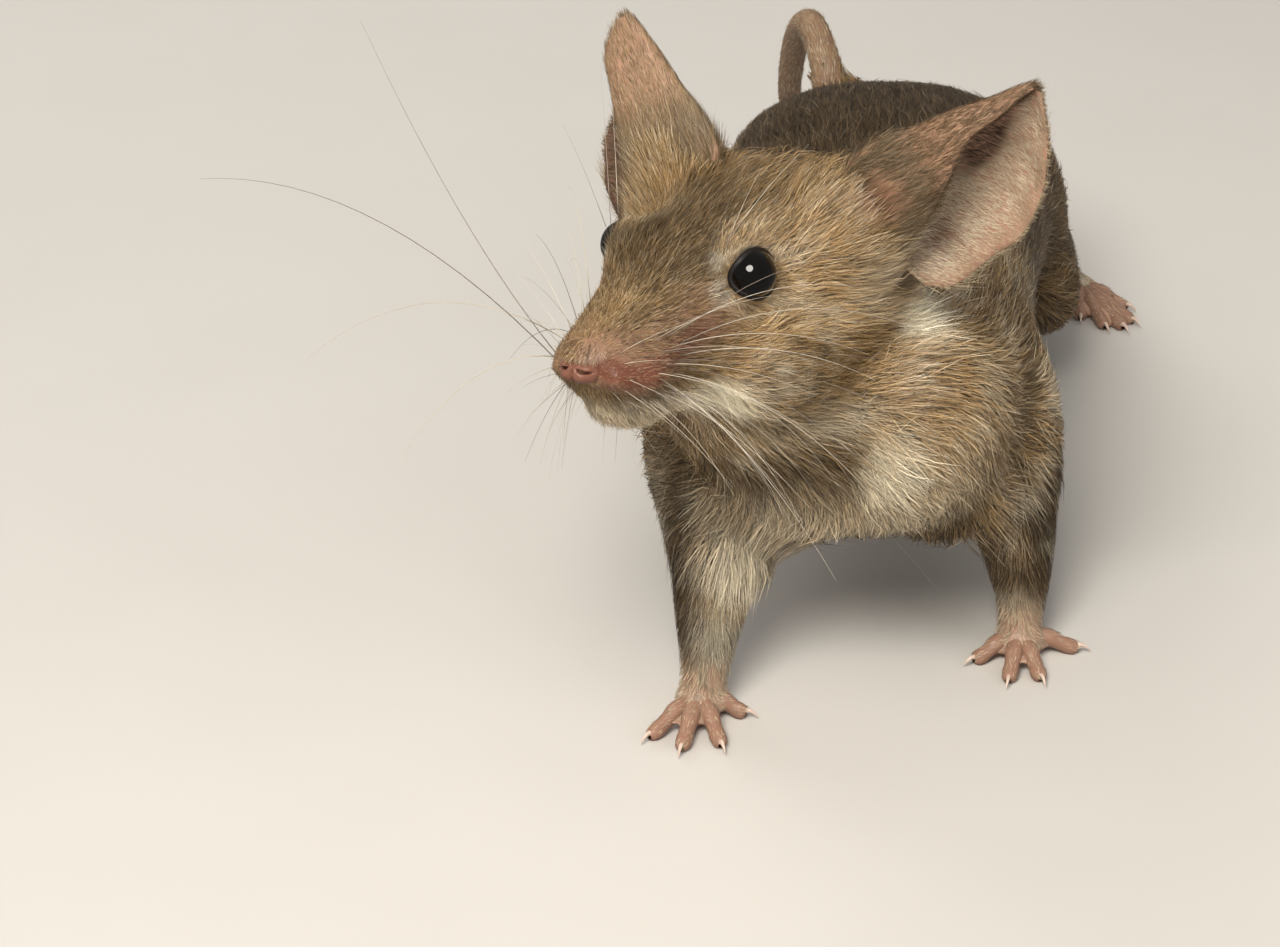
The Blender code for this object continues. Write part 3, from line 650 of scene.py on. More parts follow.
def dark_share(at, cream):
    """Dark places: crown, bridge, jaw, back, flanks and the outer side of each foreleg. The forelegs and
    the lower front are dark partly by their own colour and partly by painted shade, and painted shadow
    darkens the underside of the chin and of the breast.
    """
    unlit = 1 - at.right_elbow
    dark = np.maximum.reduce([
        0.68 * at.crown * at.head * (1 - at.brow), 0.48 * at.jaw, 0.10 * at.chin, 0.26 * at.bridge,
        # The lower front and the outer side of each foreleg are dark partly by their own colour and partly
        # by painted shade.
        0.94 * at.saddle * at.body, 0.60 * at.flank * at.body, 0.80 * at.low_front * at.body * unlit,
        # Painted shadow under the chin and on the breast's underside.
        0.9 * at.outer_leg * unlit, 0.50 * at.throat, 0.75 * at.under * at.body, 0.34 * at.mouth,
        0.29 * at.body * (1 - 0.4 * at.breast), 0.06 * at.head, 0.7 * at.upper_lid])
    dark = dark + 0.06 * at.soft + 0.06 * at.fine
    dark = dark + 0.26 * smoothstep(0.0, 1.0, -at.blotch) * at.blotched * (1 - cream)
    return np.clip(dark * (1 - 0.8 * at.wrist) * (1 - at.tuft), 0, 1)


# %% Thinly haired skin
def red_share(h, at):
    """Flushed skin: a stripe beside the nose, the nose's top, the wrists, in front of an ear."""
    off = off_line(h, STRIPE) + 0.3 * at.fine
    above = 0.5 * smoothstep(3.6, 2.0, off) * smoothstep(-0.6, 0.6, h[:, 2])
    stripe = np.maximum(1 - smoothstep(0.5, 2.3, off), above) * fainter(h, 0.45)
    red = np.maximum.reduce([stripe, 0.22 * at.nose_top, 0.35 * at.wrist])
    return np.clip(red + 0.9 * blob(h, *EAR_SPOT, 0.5), 0, 1)


def markings(p, h):
    """Two vectors for each point: (cream, buff, dark) and (pink, red, shade)."""
    at = regions(p, h)
    cream = cream_share(at)
    coat = np.stack([cream, buff_share(at, blob(h, *NAPE)), dark_share(at, cream)], -1)
    red, lids = red_share(h, at), lid_share(h)
    pink = np.maximum.reduce([bare_share(p, h) * (1 - lids), 0.95 * red, 0.8 * at.wrist])
    # Painted shade in the mouth's crease and in the hollow at the foot of each ear; on the lids' rims the
    # shade is their own black.
    shade = np.clip(lids + 0.30 * mouth_line(h) + 0.45 * at.ear_root, 0, 1)
    return coat, np.stack([pink, red, shade], -1)


# %% [markdown]
# ## Lids
# The eye of a mouse stands well out of its head, in a thin dark rim. The sockets' edges are too
# fine for the grid, so the skin is opened there by moving points: inside the opening they sink
# behind the eyeball, and round its edge they rise onto it. Before that the creases where whisker
# pad and jaw meet the cheek are relaxed, and the line of the mouth is pressed in.

# %% Relax the creases
PAD_CREASE = (4.3, 6.2, -1.5), (2.3, 3.9, 2.8), 0.5
CHIN_CREASE = (1.2, 3.2, -3.3), (3.0, 3.2, 1.8), 0.5
CREASE_ROUNDS = 130
PULL = 0.6


def relaxed(mesh, points, weight, rounds):
    """Points moved towards the mean of their neighbours, round after round, as far as weight says."""
    ends = np.empty(len(mesh.edges) * 2, np.int32)
    mesh.edges.foreach_get("vertices", ends)
    ends = ends.reshape(-1, 2)
    ends = ends[(weight[ends] > 0).any(1)]
    here, there = np.concatenate([ends, ends[:, ::-1]]).T
    count = np.maximum(np.bincount(here, minlength=len(points)), 1)[:, None]
    for _ in range(rounds):
        mean = np.stack([np.bincount(here, points[there, k], len(points)) for k in range(3)], -1) / count
        points = points + (mean - points) * (PULL * weight)[:, None]
    return points


flesh_points = points_of(flesh)
head_points = to_head(flesh_points)
crease = np.maximum(both(head_points, *PAD_CREASE), both(head_points, *CHIN_CREASE))
flesh_points = relaxed(flesh, flesh_points, crease, CREASE_ROUNDS)
set_points(flesh, flesh_points)
print("relaxed:", int((crease > 0).sum()), "points")

# %% Open the eyes and draw the skin in
LID_HEIGHT = 0.06
LID_RISE = -0.80, -0.22
OPEN_FROM = -0.13
SUNK_SHARE = 0.80
EYE_REACH = 5.0
MOUTH_DEPTH = 0.10


def open_lids(h):
    """Points round each eye moved: behind the eyeball inside the opening, onto it at the rim."""
    moved = h.copy()
    for out in SIDES.values():
        off = moved - side_eye(out)
        distance = np.linalg.norm(off, axis=1)
        inside = opening(unit(off), out)
        new = distance + (EYE_RADIUS + LID_HEIGHT - distance) * smoothstep(*LID_RISE, inside)
        new = np.where(inside > OPEN_FROM, EYE_RADIUS * SUNK_SHARE, new)
        new = np.where(distance < EYE_REACH, new, distance)
        moved = side_eye(out) + unit(off) * new[:, None]
    return moved


head_points = to_head(flesh_points)
inset = SWELL + coat_depth(flesh_points, head_points) + MOUTH_DEPTH * mouth_line(head_points)
flesh_points = flesh_points - normals_of(flesh) * inset[:, None]
flesh_points[:, 2] = np.maximum(flesh_points[:, 2], 0.0)
flesh_points = from_head(open_lids(to_head(flesh_points)))
set_points(flesh, flesh_points)
print("skin drawn in by", inset.min().round(2), "to", inset.max().round(2), "mm")

# %% [markdown]
# ## Finer surfaces of the same skin
# Ears, toes, tail, lids and nose pad are too fine for the grid. Each is its own smooth surface,
# rooted inside the flesh and joined into the one skin object, so that no seam shows.

# %% Ears
# Root, tip and the way the cup faces, in head axes. A station is: distance along the ear, then the
# front edge, the ridge and the rear margin across it, how far the edge stands proud, and the depth.
EARS = {
    "left": ((10.1, 22.5, 8.9), (20.0, 23.9, 17.8), (0.35, -0.9, -0.25), [
        (-3.2, 3.2, -2.0, 6.8, 0.6, 1.0), (-1.6, 3.0, -3.0, 8.2, 1.4, 2.2),
        (1.3, 2.5, -3.6, 8.2, 2.0, 3.2), (4.4, 1.35, -2.6, 8.2, 2.0, 3.4),
        (7.6, -0.1, -1.85, 6.8, 1.3, 2.8), (10.3, -0.05, -1.0, 4.6, 0.8, 1.8),
        (12.4, -0.05, -0.5, 2.1, 0.4, 0.9), (13.4, 0.1, -0.2, 0.6, 0.2, 0.3)]),
    "right": ((-9.0, 22.5, 7.7), (-14.5, 24.6, 17.3), (-0.2, -0.97, 0.1), [
        (-2.6, 1.5, -4.0, 6.2, 1.0, 1.0), (-0.6, 1.8, -5.2, 7.2, 1.8, 1.8),
        (2.0, 1.9, -4.4, 7.2, 1.8, 2.4), (4.6, 1.9, -3.1, 5.7, 1.6, 2.4),
        (7.0, 1.9, -2.1, 2.6, 1.3, 1.8), (9.0, 2.1, -1.3, 2.1, 0.9, 1.2),
        (10.5, 1.2, -0.7, 1.2, 0.5, 0.6), (11.2, 0.4, -0.3, 0.5, 0.2, 0.2)]),
}
EAR_THICK, EAR_EDGE = 0.50, 0.22
EAR_ROWS, EAR_COLUMNS = 7, 8
EAR_SPANS, EAR_FOLDS = 7, 5
FRILL = 0.10


def ear_axes(side):
    """The ear's root and its three axes: along, across and the way it faces."""
    root, tip, facing = (np.array(v, float) for v in EARS[side][:3])
    along = unit(tip - root)
    facing = unit(facing - along * (facing @ along))
    return root, along, np.cross(along, facing) * SIDES[side], facing


def ear_sheet(side):
    """The ear's middle surface as a grid of head points: rolled front edge, ridge, bowl, margin."""
    root, along, across, facing = ear_axes(side)
    s, edge, ridge, margin, proud, depth = spline(EARS[side][3], EAR_ROWS).T
    ridge = np.minimum(ridge, edge - 0.1)
    span = margin - ridge
    profile = np.stack([
        np.stack([edge, proud], -1), np.stack([0.65 * edge + 0.35 * ridge, 0.75 * proud], -1),
        np.stack([ridge, -0.1 * depth], -1), np.stack([ridge + 0.30 * span, -0.85 * depth], -1),
        np.stack([ridge + 0.62 * span, -depth], -1), np.stack([margin, -0.35 * depth], -1)])
    curve = spline(profile.reshape(EAR_FOLDS + 1, -1), EAR_COLUMNS)
    curve = curve.reshape(-1, len(s), 2).transpose(1, 0, 2)
    frill = FRILL * np.sin(s * 2.1)[:, None] * np.linspace(0, 1, curve.shape[1]) ** 4
    return (root + along * s[:, None, None] + across * curve[..., :1]
            + facing * (curve[..., 1:] + frill[..., None]))


def ear_surface(side):
    """The sheet given a front and a back, thinning to its edges, as one closed skin."""
    middle = ear_sheet(side)
    du, dv = np.gradient(middle, axis=0), np.gradient(middle, axis=1)
    normal = -unit(np.cross(du, dv)) * SIDES[side]
    rim = np.sin(np.pi * np.linspace(0, 1, middle.shape[1])) ** 0.5
    half = (EAR_EDGE + (EAR_THICK - EAR_EDGE) * rim)[None, :, None] / 2
    loop = np.concatenate([middle + normal * half, (middle - normal * half)[:, ::-1]], axis=1)
    rows, columns = loop.shape[:2]
    faces = closed(grid_faces(rows, columns, wrap=True), rows, columns)
    return outward(from_head(loop.reshape(-1, 3)), faces)


def ear_places():
    """For each of an ear's points: share across from free edge to margin, share along, and 0 for
    the hollow face or 1 for the outer one."""
    rows, columns = EAR_SPANS * EAR_ROWS + 1, EAR_FOLDS * EAR_COLUMNS + 1
    across = np.linspace(0, 1, columns)
    loop = np.tile(np.concatenate([across, across[::-1]]), rows)
    return np.stack([loop, np.repeat(np.linspace(0, 1, rows), 2 * columns),
                     np.tile(np.repeat([0.0, 1.0], columns), rows)], -1)


# %% [markdown]
# A mouse's toes are short arched tubes with a swollen tip and a claw. They fan from the palm, and
# from the end of the long hind foot. The tail is one long tapering tube, ringed with scales, that
# leaves the rump in an arch and lies curled on the floor.

# %% Toes, claws and tail
# A toe is its angle from straight ahead in degrees and its reach. A toe's or a claw's station is
# share along, height and radius, and the tail's is a place and a radius.
FORE_TOES = {"left": ((-59, 4.2), (-14, 5.1), (15, 4.9), (84, 4.5)),
             "right": ((-42, 5.6), (-14, 5.9), (16, 5.5), (72, 3.6))}
HIND_TOES = ((-30, 13.2), (-11, 15.2), (1, 15.8), (13, 15.4), (32, 13.4))
HIND_TURN = 26.0
HIND_ROOT = 8.6
TOE_START = 0.6
TOE_LINE = np.array([(0.0, 1.05, 0.72), (0.2, 1.25, 0.66), (0.42, 1.18, 0.70), (0.62, 0.82, 0.58),
                     (0.82, 0.52, 0.62), (0.94, 0.44, 0.52), (1.0, 0.40, 0.26)])
CLAW_LINE = np.array([(0.90, 0.62, 0.20), (1.02, 0.72, 0.17), (1.13, 0.62, 0.12), (1.22, 0.36, 0.05),
                      (1.26, 0.16, 0.01)])
CLAW_SPAN = 3.6
TOE_SIDES, CLAW_SIDES, TAIL_SIDES = 12, 7, 20
TOE_STEPS, TAIL_STEPS = 4, 20
TAIL = [(0.8, 65.3, 17.0, 1.7), (0.0, 68.0, 19.9, 1.45), (-1.0, 71.6, 21.3, 1.35),
        (-1.8, 75.6, 18.8, 1.27), (-2.2, 79.4, 14.4, 1.2), (-2.2, 83.0, 9.4, 1.12),
        (-1.4, 86.8, 4.9, 1.06), (0.5, 90.6, 1.9, 1.0), (4.8, 93.0, 0.85, 0.93),
        (10.4, 92.6, 0.77, 0.85), (15.0, 88.8, 0.68, 0.76), (17.4, 82.8, 0.57, 0.65),
        (17.6, 76.2, 0.42, 0.5)]
TAIL_DRAW = 0.94
TAIL_END = 0.12
SCALE_PITCH, SCALE_SWELL = 0.9, 0.03
LOWEST = 0.01


def heading(degrees):
    """A level direction so many degrees from straight ahead, towards the mouse's left."""
    a = np.radians(degrees)
    return np.array([np.sin(a), -np.cos(a), 0.0])


def toe_bases():
    """Where each toe leaves its paw, which way it points, and how long it is."""
    found = []
    for side, out in SIDES.items():
        for degrees, reach in FORE_TOES[side]:
            way = heading(degrees)
            found.append((np.array([*FORE[side], 0]) + way * TOE_START, way, reach - TOE_START))
        heel = np.array([*HIND[side], 0])
        ahead = heading(out * HIND_TURN)
        for degrees, reach in HIND_TOES:
            way = heading(out * (HIND_TURN + degrees))
            found.append((heel + ahead * HIND_ROOT + way * TOE_START, way, reach - HIND_ROOT - TOE_START))
    return found


def toe_tubes(line, sides, length=None):
    """Each toe's line of (share along, height, radius) carried out from its base, or over only
    the last length of it."""
    shape = spline(line, TOE_STEPS)
    paths = []
    for base, way, reach in toe_bases():
        if length:
            base, reach = base + way * (reach - length), length
        paths.append(base + way * (shape[:, :1] * reach) + (0, 0, 1) * shape[:, 1:2])
    points, faces = tube(np.array(paths), np.tile(shape[:, 2], (len(paths), 1)), sides)
    points[:, 2] = np.maximum(points[:, 2], LOWEST)
    return outward(points, faces)


def tail_surface():
    """The tail's tube, its radius swelling a little at each ring of scales."""
    rows = spline(TAIL, TAIL_STEPS)
    run = np.concatenate([[0], np.cumsum(np.linalg.norm(np.diff(rows[:, :3], axis=0), axis=1))])
    radius = rows[:, 3] * TAIL_DRAW * (1 - SCALE_SWELL * np.cos(run * 2 * np.pi / SCALE_PITCH))
    radius[-1] = TAIL_END
    points, faces = tube(rows[None, :, :3], radius[None], TAIL_SIDES)
    points[:, 2] = np.maximum(points[:, 2], LOWEST)
    return outward(points, closed(faces, len(rows), TAIL_SIDES))


# %% [markdown]
# The lids are a ring round each opening: it rises from behind the eyeball, rolls over a rim and
# goes under the skin again. The nose pad is a ball with two lobes, a groove down its middle and a
# comma-shaped pit at each side.

# %% Lids and nose
LID_ROWS = np.array([(0.12, -0.25), (0.05, 0.00), (0.00, 0.08), (-0.05, 0.13), (-0.12, 0.14),
                     (-0.19, 0.09), (-0.27, -0.02), (-0.38, -0.22)])
LID_STEPS, LID_COLUMNS = 3, 72
NOSE_BALL = ball(rows=70, columns=100)


def lid_ring(side):
    """Rows of (angle inside the opening's edge, height over the eyeball), carried round the edge."""
    out = SIDES[side]
    gaze, corner, up = eye_axes(out)
    share = 2 * np.pi * np.arange(LID_COLUMNS) / LID_COLUMNS
    rows = spline(LID_ROWS, LID_STEPS)
    angle = lid_edge(share, out)[None] - rows[:, :1]
    way = (np.cos(angle)[..., None] * gaze
           + np.sin(angle)[..., None] * (np.cos(share)[:, None] * corner + np.sin(share)[:, None] * up))
    points = side_eye(out) + way * (EYE_RADIUS + rows[:, 1:2])[..., None]
    return outward(from_head(points.reshape(-1, 3)), grid_faces(len(rows), LID_COLUMNS, wrap=True),
                   from_head(side_eye(out)))


def nostril_share(points):
    """1 in the comma-shaped pit at each side of a nose given as points of a ball of radius one."""
    across = np.abs(points[:, 0]) - 0.56
    down = points[:, 2] - 0.20 + 0.35 * across - 0.9 * across ** 2
    pit = np.hypot(across / 0.34, down / (0.14 + 0.12 * np.clip(-across, 0, 1)))
    return (1 - smoothstep(0.40, 1.15, pit)) * smoothstep(0.35, -0.1, points[:, 1])


def nose_pad():
    """A ball whose radius has lobes and wings added, and a groove and two nostrils taken away."""
    points, faces = NOSE_BALL
    x, y, z = np.abs(points[:, 0]), points[:, 1], points[:, 2]
    front = smoothstep(0.35, -0.25, y)
    lobes = 0.11 * np.exp(-((x - 0.40) / 0.30) ** 2 - ((z + 0.32) / 0.36) ** 2) * front
    groove = 0.24 * np.exp(-(x / 0.085) ** 2) * smoothstep(0.55, 0.05, z) * front
    wings = 0.13 * np.exp(-((x - 0.66) / 0.24) ** 2 - ((z - 0.50) / 0.18) ** 2) * front
    grain = 0.010 * wave(points, 0.16, 31)
    radius = 1 + lobes + wings + grain - groove - 0.42 * nostril_share(points)
    return outward(from_head(points * radius[:, None] * PAD_RADII + PAD_CENTRE), faces)


# %% [markdown]
# The fused flesh has more triangles than its shape needs, so it is thinned before the finer
# surfaces are put beside it in one list of points.

# %% Thin the flesh and gather the surfaces
FLESH_TRIANGLES = 105_000


def triangles_of(mesh):
    """A mesh's faces as an array of triangles."""
    mesh.calc_loop_triangles()
    found = np.empty(len(mesh.loop_triangles) * 3, np.int32)
    mesh.loop_triangles.foreach_get("vertices", found)
    return found.reshape(-1, 3)


def thinned(mesh, count):
    """The mesh with its flattest places given larger triangles."""
    obj = add_object("thinned", mesh)
    thin = obj.modifiers.new("Thin", "DECIMATE")
    thin.ratio = count / len(triangles_of(mesh))
    return finished(obj)


flesh = thinned(flesh, FLESH_TRIANGLES)
flesh_points, flesh_triangles = points_of(flesh), triangles_of(flesh)
flesh_normals = normals_of(flesh)
parts = {"flesh": (flesh_points, flesh_triangles), "tail": tail_surface(), "nose": nose_pad(),
         "toes": toe_tubes(TOE_LINE, TOE_SIDES)}
for side in SIDES:
    parts["ear_" + side] = ear_surface(side)
    parts["lids_" + side] = lid_ring(side)
starts = np.cumsum([0] + [len(points) for points, _ in parts.values()])
place = {name: slice(first, last) for name, first, last in zip(parts, starts, starts[1:])}
skin_points = np.concatenate([points for points, _ in parts.values()])
skin_faces = np.concatenate([triangles(faces) + first for (_, faces), first in zip(parts.values(), starts)])

# %% [markdown]
# The flesh takes the markings above. Each finer surface has its own (cream, buff, dark) and (pink, red,
# shade): the lids' shade is their rims' own black, the tail's makes it dusky and the toes' is painted
# shade. Nose and ears are then made redder in their pits and hollows and darker there by painted shade, and
# an ear's outer face shows some of the coat's colour.

# %% Mark and join the skin
# The toes' shade is painted shade; the lids' is the rims' own black, and the tail's makes it dusky.
FINISHES = {"tail": ((0.0, 0.3, 0.40), (0.35, 0.0, 0.15)), "nose": ((0.0, 0.3, 0.0), (1.0, 0.3, 0.0)),
            "toes": ((0.0, 0.3, 0.0), (1.0, 0.30, 0.16)), "ear": ((0.0, 0.5, 0.0), (1.0, 0.1, 0.0)),
            "lids": ((0.0, 0.2, 1.0), (0.0, 0.0, 1.0))}
EAR_HAIRED = {"left": 0.40, "right": 0.15}
skin_head = to_head(skin_points)
skin_coat, skin_bare = markings(skin_points, skin_head)
for name in place:
    if name != "flesh":
        skin_coat[place[name]], skin_bare[place[name]] = FINISHES[name.split("_")[0]]
# Painted shade: the pad's underside is made redder and darker, and its nostril pits, redder by their own
# colour, are made darker.
nostrils = nostril_share(NOSE_BALL[0])
pad_underside_shade = smoothstep(-0.35, -0.95, NOSE_BALL[0][:, 2])
skin_bare[place["nose"], 1:] = np.stack([np.maximum(0.82 + 0.18 * nostrils, pad_underside_shade),
                                         np.maximum(0.7 * nostrils, 0.45 * pad_underside_shade)], -1)
across, along, outer = ear_places().T
# Low in each ear's hollow the skin is redder by its own flush and a little darker by painted shade; the far
# ear's rear margin inside the cup is darkened by painted shade.
canal = smoothstep(0.50, 0.25, along) * (outer < 0.5)
margin = smoothstep(0.65, 0.85, across) * smoothstep(0.75, 0.55, along) * (outer < 0.5)
for side in SIDES:
    ear = place["ear_" + side]
    red = 0.1 + 0.12 * canal + 0.8 * flushed(skin_head[ear])
    shade = 0.08 * canal + 0.5 * margin * (side == "right")
    skin_bare[ear] = np.stack([1 - EAR_HAIRED[side] * outer, red, shade], -1)
skin = add_object("skin", mesh_of(skin_points, skin_faces, {"coat": skin_coat, "bare": skin_bare}))
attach(skin, "root")
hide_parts(*[n for n in frame["nodes"] if not n.startswith(("eye", "whisker"))])
print("skin:", len(skin_faces), "triangles in", len(parts), "surfaces")

# %% [markdown]
# ## The coat
# Each tuft is a flat ribbon of three triangles: wide at the root, bent once, and drawn to a point.
# Its root stands on the skin; its middle and its tip are moved to the nearest place on the skin and
# lifted from there, so a tuft follows the body's curve and lies down. Many thin tufts that overlap
# read as fur, where a few broad ones would read as scales.

# %% Roots on the skin
body_skin = add_object("body_skin", mesh_of(flesh_points, flesh_triangles))


def on_skin(points):
    """The nearest place on the skin to each point, by a Shrinkwrap over all of them at once."""
    mesh = bpy.data.meshes.new("probe")
    mesh.vertices.add(len(points))
    set_points(mesh, points)
    probe = add_object("probe", mesh)
    wrap = probe.modifiers.new("Wrap", "SHRINKWRAP")
    wrap.target = body_skin
    wrap.wrap_method = "NEAREST_SURFACEPOINT"
    return points_of(finished(probe))


def scatter(faces, density, points, *carried):
    """Random places on triangles, so many to the square millimetre, with what the points carry."""
    corner = points[faces]
    area = np.linalg.norm(np.cross(corner[:, 1] - corner[:, 0], corner[:, 2] - corner[:, 0]), axis=1) / 2
    total = np.cumsum(area * density)
    count = int(total[-1])
    pick = np.searchsorted(total, chance.uniform(0, total[-1], count))
    a, b = chance.uniform(size=(2, count, 1))
    over = (a + b) > 1
    a, b = np.where(over, 1 - a, a), np.where(over, 1 - b, b)
    weights = np.concatenate([1 - a - b, a, b], 1)[..., None]
    return [(values[faces[pick]] * weights).sum(1) for values in (points, *carried)]


def flattened(ways, normals):
    """Directions laid onto the skin."""
    return unit(ways - normals * (ways * normals).sum(1, keepdims=True))


# %% [markdown]
# A tuft is lit by a normal that is partly its own and partly the skin's, so the coat takes light as
# one soft surface. Each piece of coat has a map, OFBake, in which a tuft has a small patch of its
# own at its root's place on the skin laid flat.

# %% Ribbons and their map
PATCH = 0.003
RIBBON = np.array([(0, 1, 3), (0, 3, 2), (2, 3, 4)])
RIBBON_ALONG = np.array([0.0, 0.0, 0.5, 0.5, 1.0])
RIBBON_PATCH = np.array([(-0.5, -0.5), (0.5, -0.5), (-0.5, 0.0), (0.5, 0.0), (0.0, 0.5)]) * PATCH
MID_WIDTH = 0.8
OWN_NORMAL = 0.4
MAP_SPANS = {"face": (-1, 15), "crown": (12, 36), "cheeks": (12, 36), "breast": (-10, 6),
             "shoulders": (2, 24), "back": (20, 72), "flanks": (20, 72)}
LEG_MAPS = {"forelegs": (FORE, 2.5), "hind_legs": (HIND, -4)}


def ribbons(roots, mids, tips, ways, normals, roll, widths):
    """Five points for each tuft, two at the root, two in the middle and one tip, and the normal it
    is lit by."""
    roll = roll[:, None]
    across = np.cross(ways, normals)
    half = (across * np.cos(roll) + normals * np.sin(roll)) * widths[:, None] / 2
    points = [roots - half, roots + half, mids - half * MID_WIDTH, mids + half * MID_WIDTH, tips]
    own = normals * np.cos(roll) - across * np.sin(roll)
    lit = unit(OWN_NORMAL * own + (1 - OWN_NORMAL) * normals)
    return np.stack(points, 1), np.repeat(lit[:, None], 5, axis=1)


def unwrapped(name, p, h):
    """Where a root lies on the skin laid flat: round the head's, a leg's or the trunk's axis, and
    along it. The crown is laid flat from above."""
    if name in LEG_MAPS:
        spots, ahead = LEG_MAPS[name]
        left = np.abs(p[:, 0] - spots["left"][0]) < np.abs(p[:, 0] - spots["right"][0])
        x = np.where(left, spots["left"][0], spots["right"][0])
        y = np.where(left, spots["left"][1], spots["right"][1]) + ahead
        turn = np.arctan2(p[:, 0] - x, y - p[:, 1]) / (2 * np.pi) + 0.5
        return np.stack([(turn + left) / 2, p[:, 2] / 18], -1)
    low, high = MAP_SPANS[name]
    if name in ("face", "crown", "cheeks"):
        turn = np.arctan2(h[:, 0], h[:, 2] - (0.5 if name == "face" else 2.0)) / (2 * np.pi) + 0.5
        across = (h[:, 0] + 16) / 32 if name == "crown" else turn
        return np.stack([across, (h[:, 1] - low) / (high - low)], -1)
    turn = np.arctan2(p[:, 0] - 2.5, p[:, 2] - 17) / (2 * np.pi) + 0.5
    return np.stack([turn, (p[:, 1] - low) / (high - low)], -1)


def coat_piece(name, points, lit, coat, bare, tone, flat, start=0.0):
    """An object of tufts, each with its root's markings, its own tone and its patch of the map.
    start is how far up a hair's colours a tuft begins, above 0 where the hairs have no grey root."""
    count = len(tone)
    faces = (RIBBON[None] + 5 * np.arange(count)[:, None, None]).reshape(-1, 3)
    along = np.tile(np.maximum(RIBBON_ALONG, start), count)
    strand = np.stack([along, np.repeat(tone, 5), np.zeros(5 * count)], -1)
    mesh = mesh_of(points.reshape(-1, 3), faces, {"coat": np.repeat(coat, 5, 0),
                                                  "bare": np.repeat(bare, 5, 0), "strand": strand})
    uv = np.clip(flat, PATCH, 1 - PATCH)[:, None] + RIBBON_PATCH
    layer = mesh.uv_layers.new(name="OFBake")
    layer.data.foreach_set("uv", uv.reshape(-1, 2)[faces.ravel()].astype(np.float32).ravel())
    mesh.normals_split_custom_set_from_vertices(lit.reshape(-1, 3))
    obj = add_object("coat_" + name, mesh)
    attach(obj, "root")
    print("coat_" + name, count, "tufts")


# %% [markdown]
# The coat is closest on the face and thinnest on the flanks, and it thins out where the skin is
# flushed. Some hairs are guard hairs, which are longer and stand higher. So do those of the ridge
# over the far eye, the fringe under the breast, the beard, and the hair over the nose pad.

# %% Number, length and way of the tufts
FACE_TUFTS, FACE_FEWER = 116, 28
TRUNK_TUFTS, TRUNK_FEWER = 55, 13
LEG_TUFTS = 48
RIDGE = (-3.2, 9.4, 5.2), (2.2, 3.6, 2.2), 0.4
FRINGE = (0.5, -2.0, 13.0), (12.0, 8.0, 3.2), 0.4
BEARD = (1.8, 5.5, -4.4), (2.8, 4.5, 1.4), 0.4


def tuft_density(p, h):
    """Tufts to the square millimetre: most on the face, fewest on the flanks, none on bare skin."""
    head, legs = head_share(h), leg_share(p, h)
    face = FACE_TUFTS - FACE_FEWER * smoothstep(8, 22, h[:, 1])
    trunk = TRUNK_TUFTS - TRUNK_FEWER * smoothstep(8, 30, p[:, 1])
    density = head * face + (1 - head) * (trunk * (1 - legs) + LEG_TUFTS * legs)
    density = density * (1 - 0.66 * markings(p, h)[1][:, 1])
    density = density * (1 - 0.7 * blob(h, *EAR_SPOT, 0.4))
    density = density * (1 - 0.2 * smoothstep(0.35, 0.7, mouth_line(h)))
    return density * (1 - smoothstep(0.4, 0.8, bare_share(p, h)))


def tuft_measures(p, h, red):
    """Each tuft's length, and how high its tip lies over the skin, in mm."""
    count, on_head = len(p), head_share(h)
    length = coat_length(p, h) * chance.uniform(0.7, 1.25, count) * (1 - 0.50 * red)
    guard = chance.uniform(size=count) < 0.04 + 0.03 * on_head
    length = length * np.where(guard, 1.2 + 0.25 * on_head, 1.0)
    rise = coat_depth(p, h) * chance.uniform(0.35, 1.10, count)
    rise = rise * np.where(guard, 1.3 + 0.9 * on_head, 1.0) + 0.04
    ridge = blob(h, *RIDGE) * chance.uniform(0.3, 1.0, count)
    fringe = blob(p, *FRINGE) * chance.uniform(0, 1, count) ** 2
    beard = both(h, *BEARD) * chance.uniform(0, 1, count) ** 2
    hang = both(h, *OVER_PAD) * chance.uniform(0.3, 1.0, count)
    length = length + 0.8 * ridge + 2.4 * fringe + 0.9 * beard + 0.35 * hang
    return length, rise + 1.0 * ridge + 1.2 * fringe + 0.5 * beard + 0.40 * hang


def tuft_ways(p, h, normals):
    """Each tuft's direction, and how far it stands free of the skin, as it does at an ear's foot."""
    count = len(p)
    ways = flattened(lie(p, h) + chance.normal(0, 0.17, (count, 3)), normals)
    free = np.zeros((count, 1))
    for side in SIDES:
        root, along, _, facing = ear_axes(side)
        near = blob(h, root - 1.6 * along + 2.0 * facing, (3.4,) * 3, 0.5)[:, None]
        ways = unit(ways * (1 - near) + near * (along @ TURN.T + chance.normal(0, 0.2, (count, 3))))
        free = np.maximum(free, near)
    return ways, free


def bent_tufts(roots, normals, ways, free, length, rise):
    """The middle and the tip of each tuft: moved to the nearest skin, and lifted along a normal
    that turns with the bend from root to tip. A free tuft is straight and leans off the skin."""
    step = ways * length[:, None]
    mid_skin, tip_skin = np.split(on_skin(np.concatenate([roots + step * 0.5, roots + step])), 2)
    bend = -np.arcsin(np.clip((unit(tip_skin - roots) * normals).sum(1), -0.8, 0.8))[:, None]
    tip_normals = unit(normals * np.cos(2 * bend) + ways * np.sin(2 * bend))
    mids = mid_skin + unit(normals + tip_normals) * (0.78 * rise)[:, None]
    tips = tip_skin + tip_normals * rise[:, None]
    straight = unit(ways + 0.35 * normals) * (length * chance.uniform(0.8, 1.2, len(roots)))[:, None]
    return mids + free * (roots + 0.5 * straight - mids), tips + free * (roots + straight - tips)


# %% Lay the coat
ROLL_SPREAD, ROLL_MOST = 0.45, 1.2
ROOT_DEPTH = 0.05


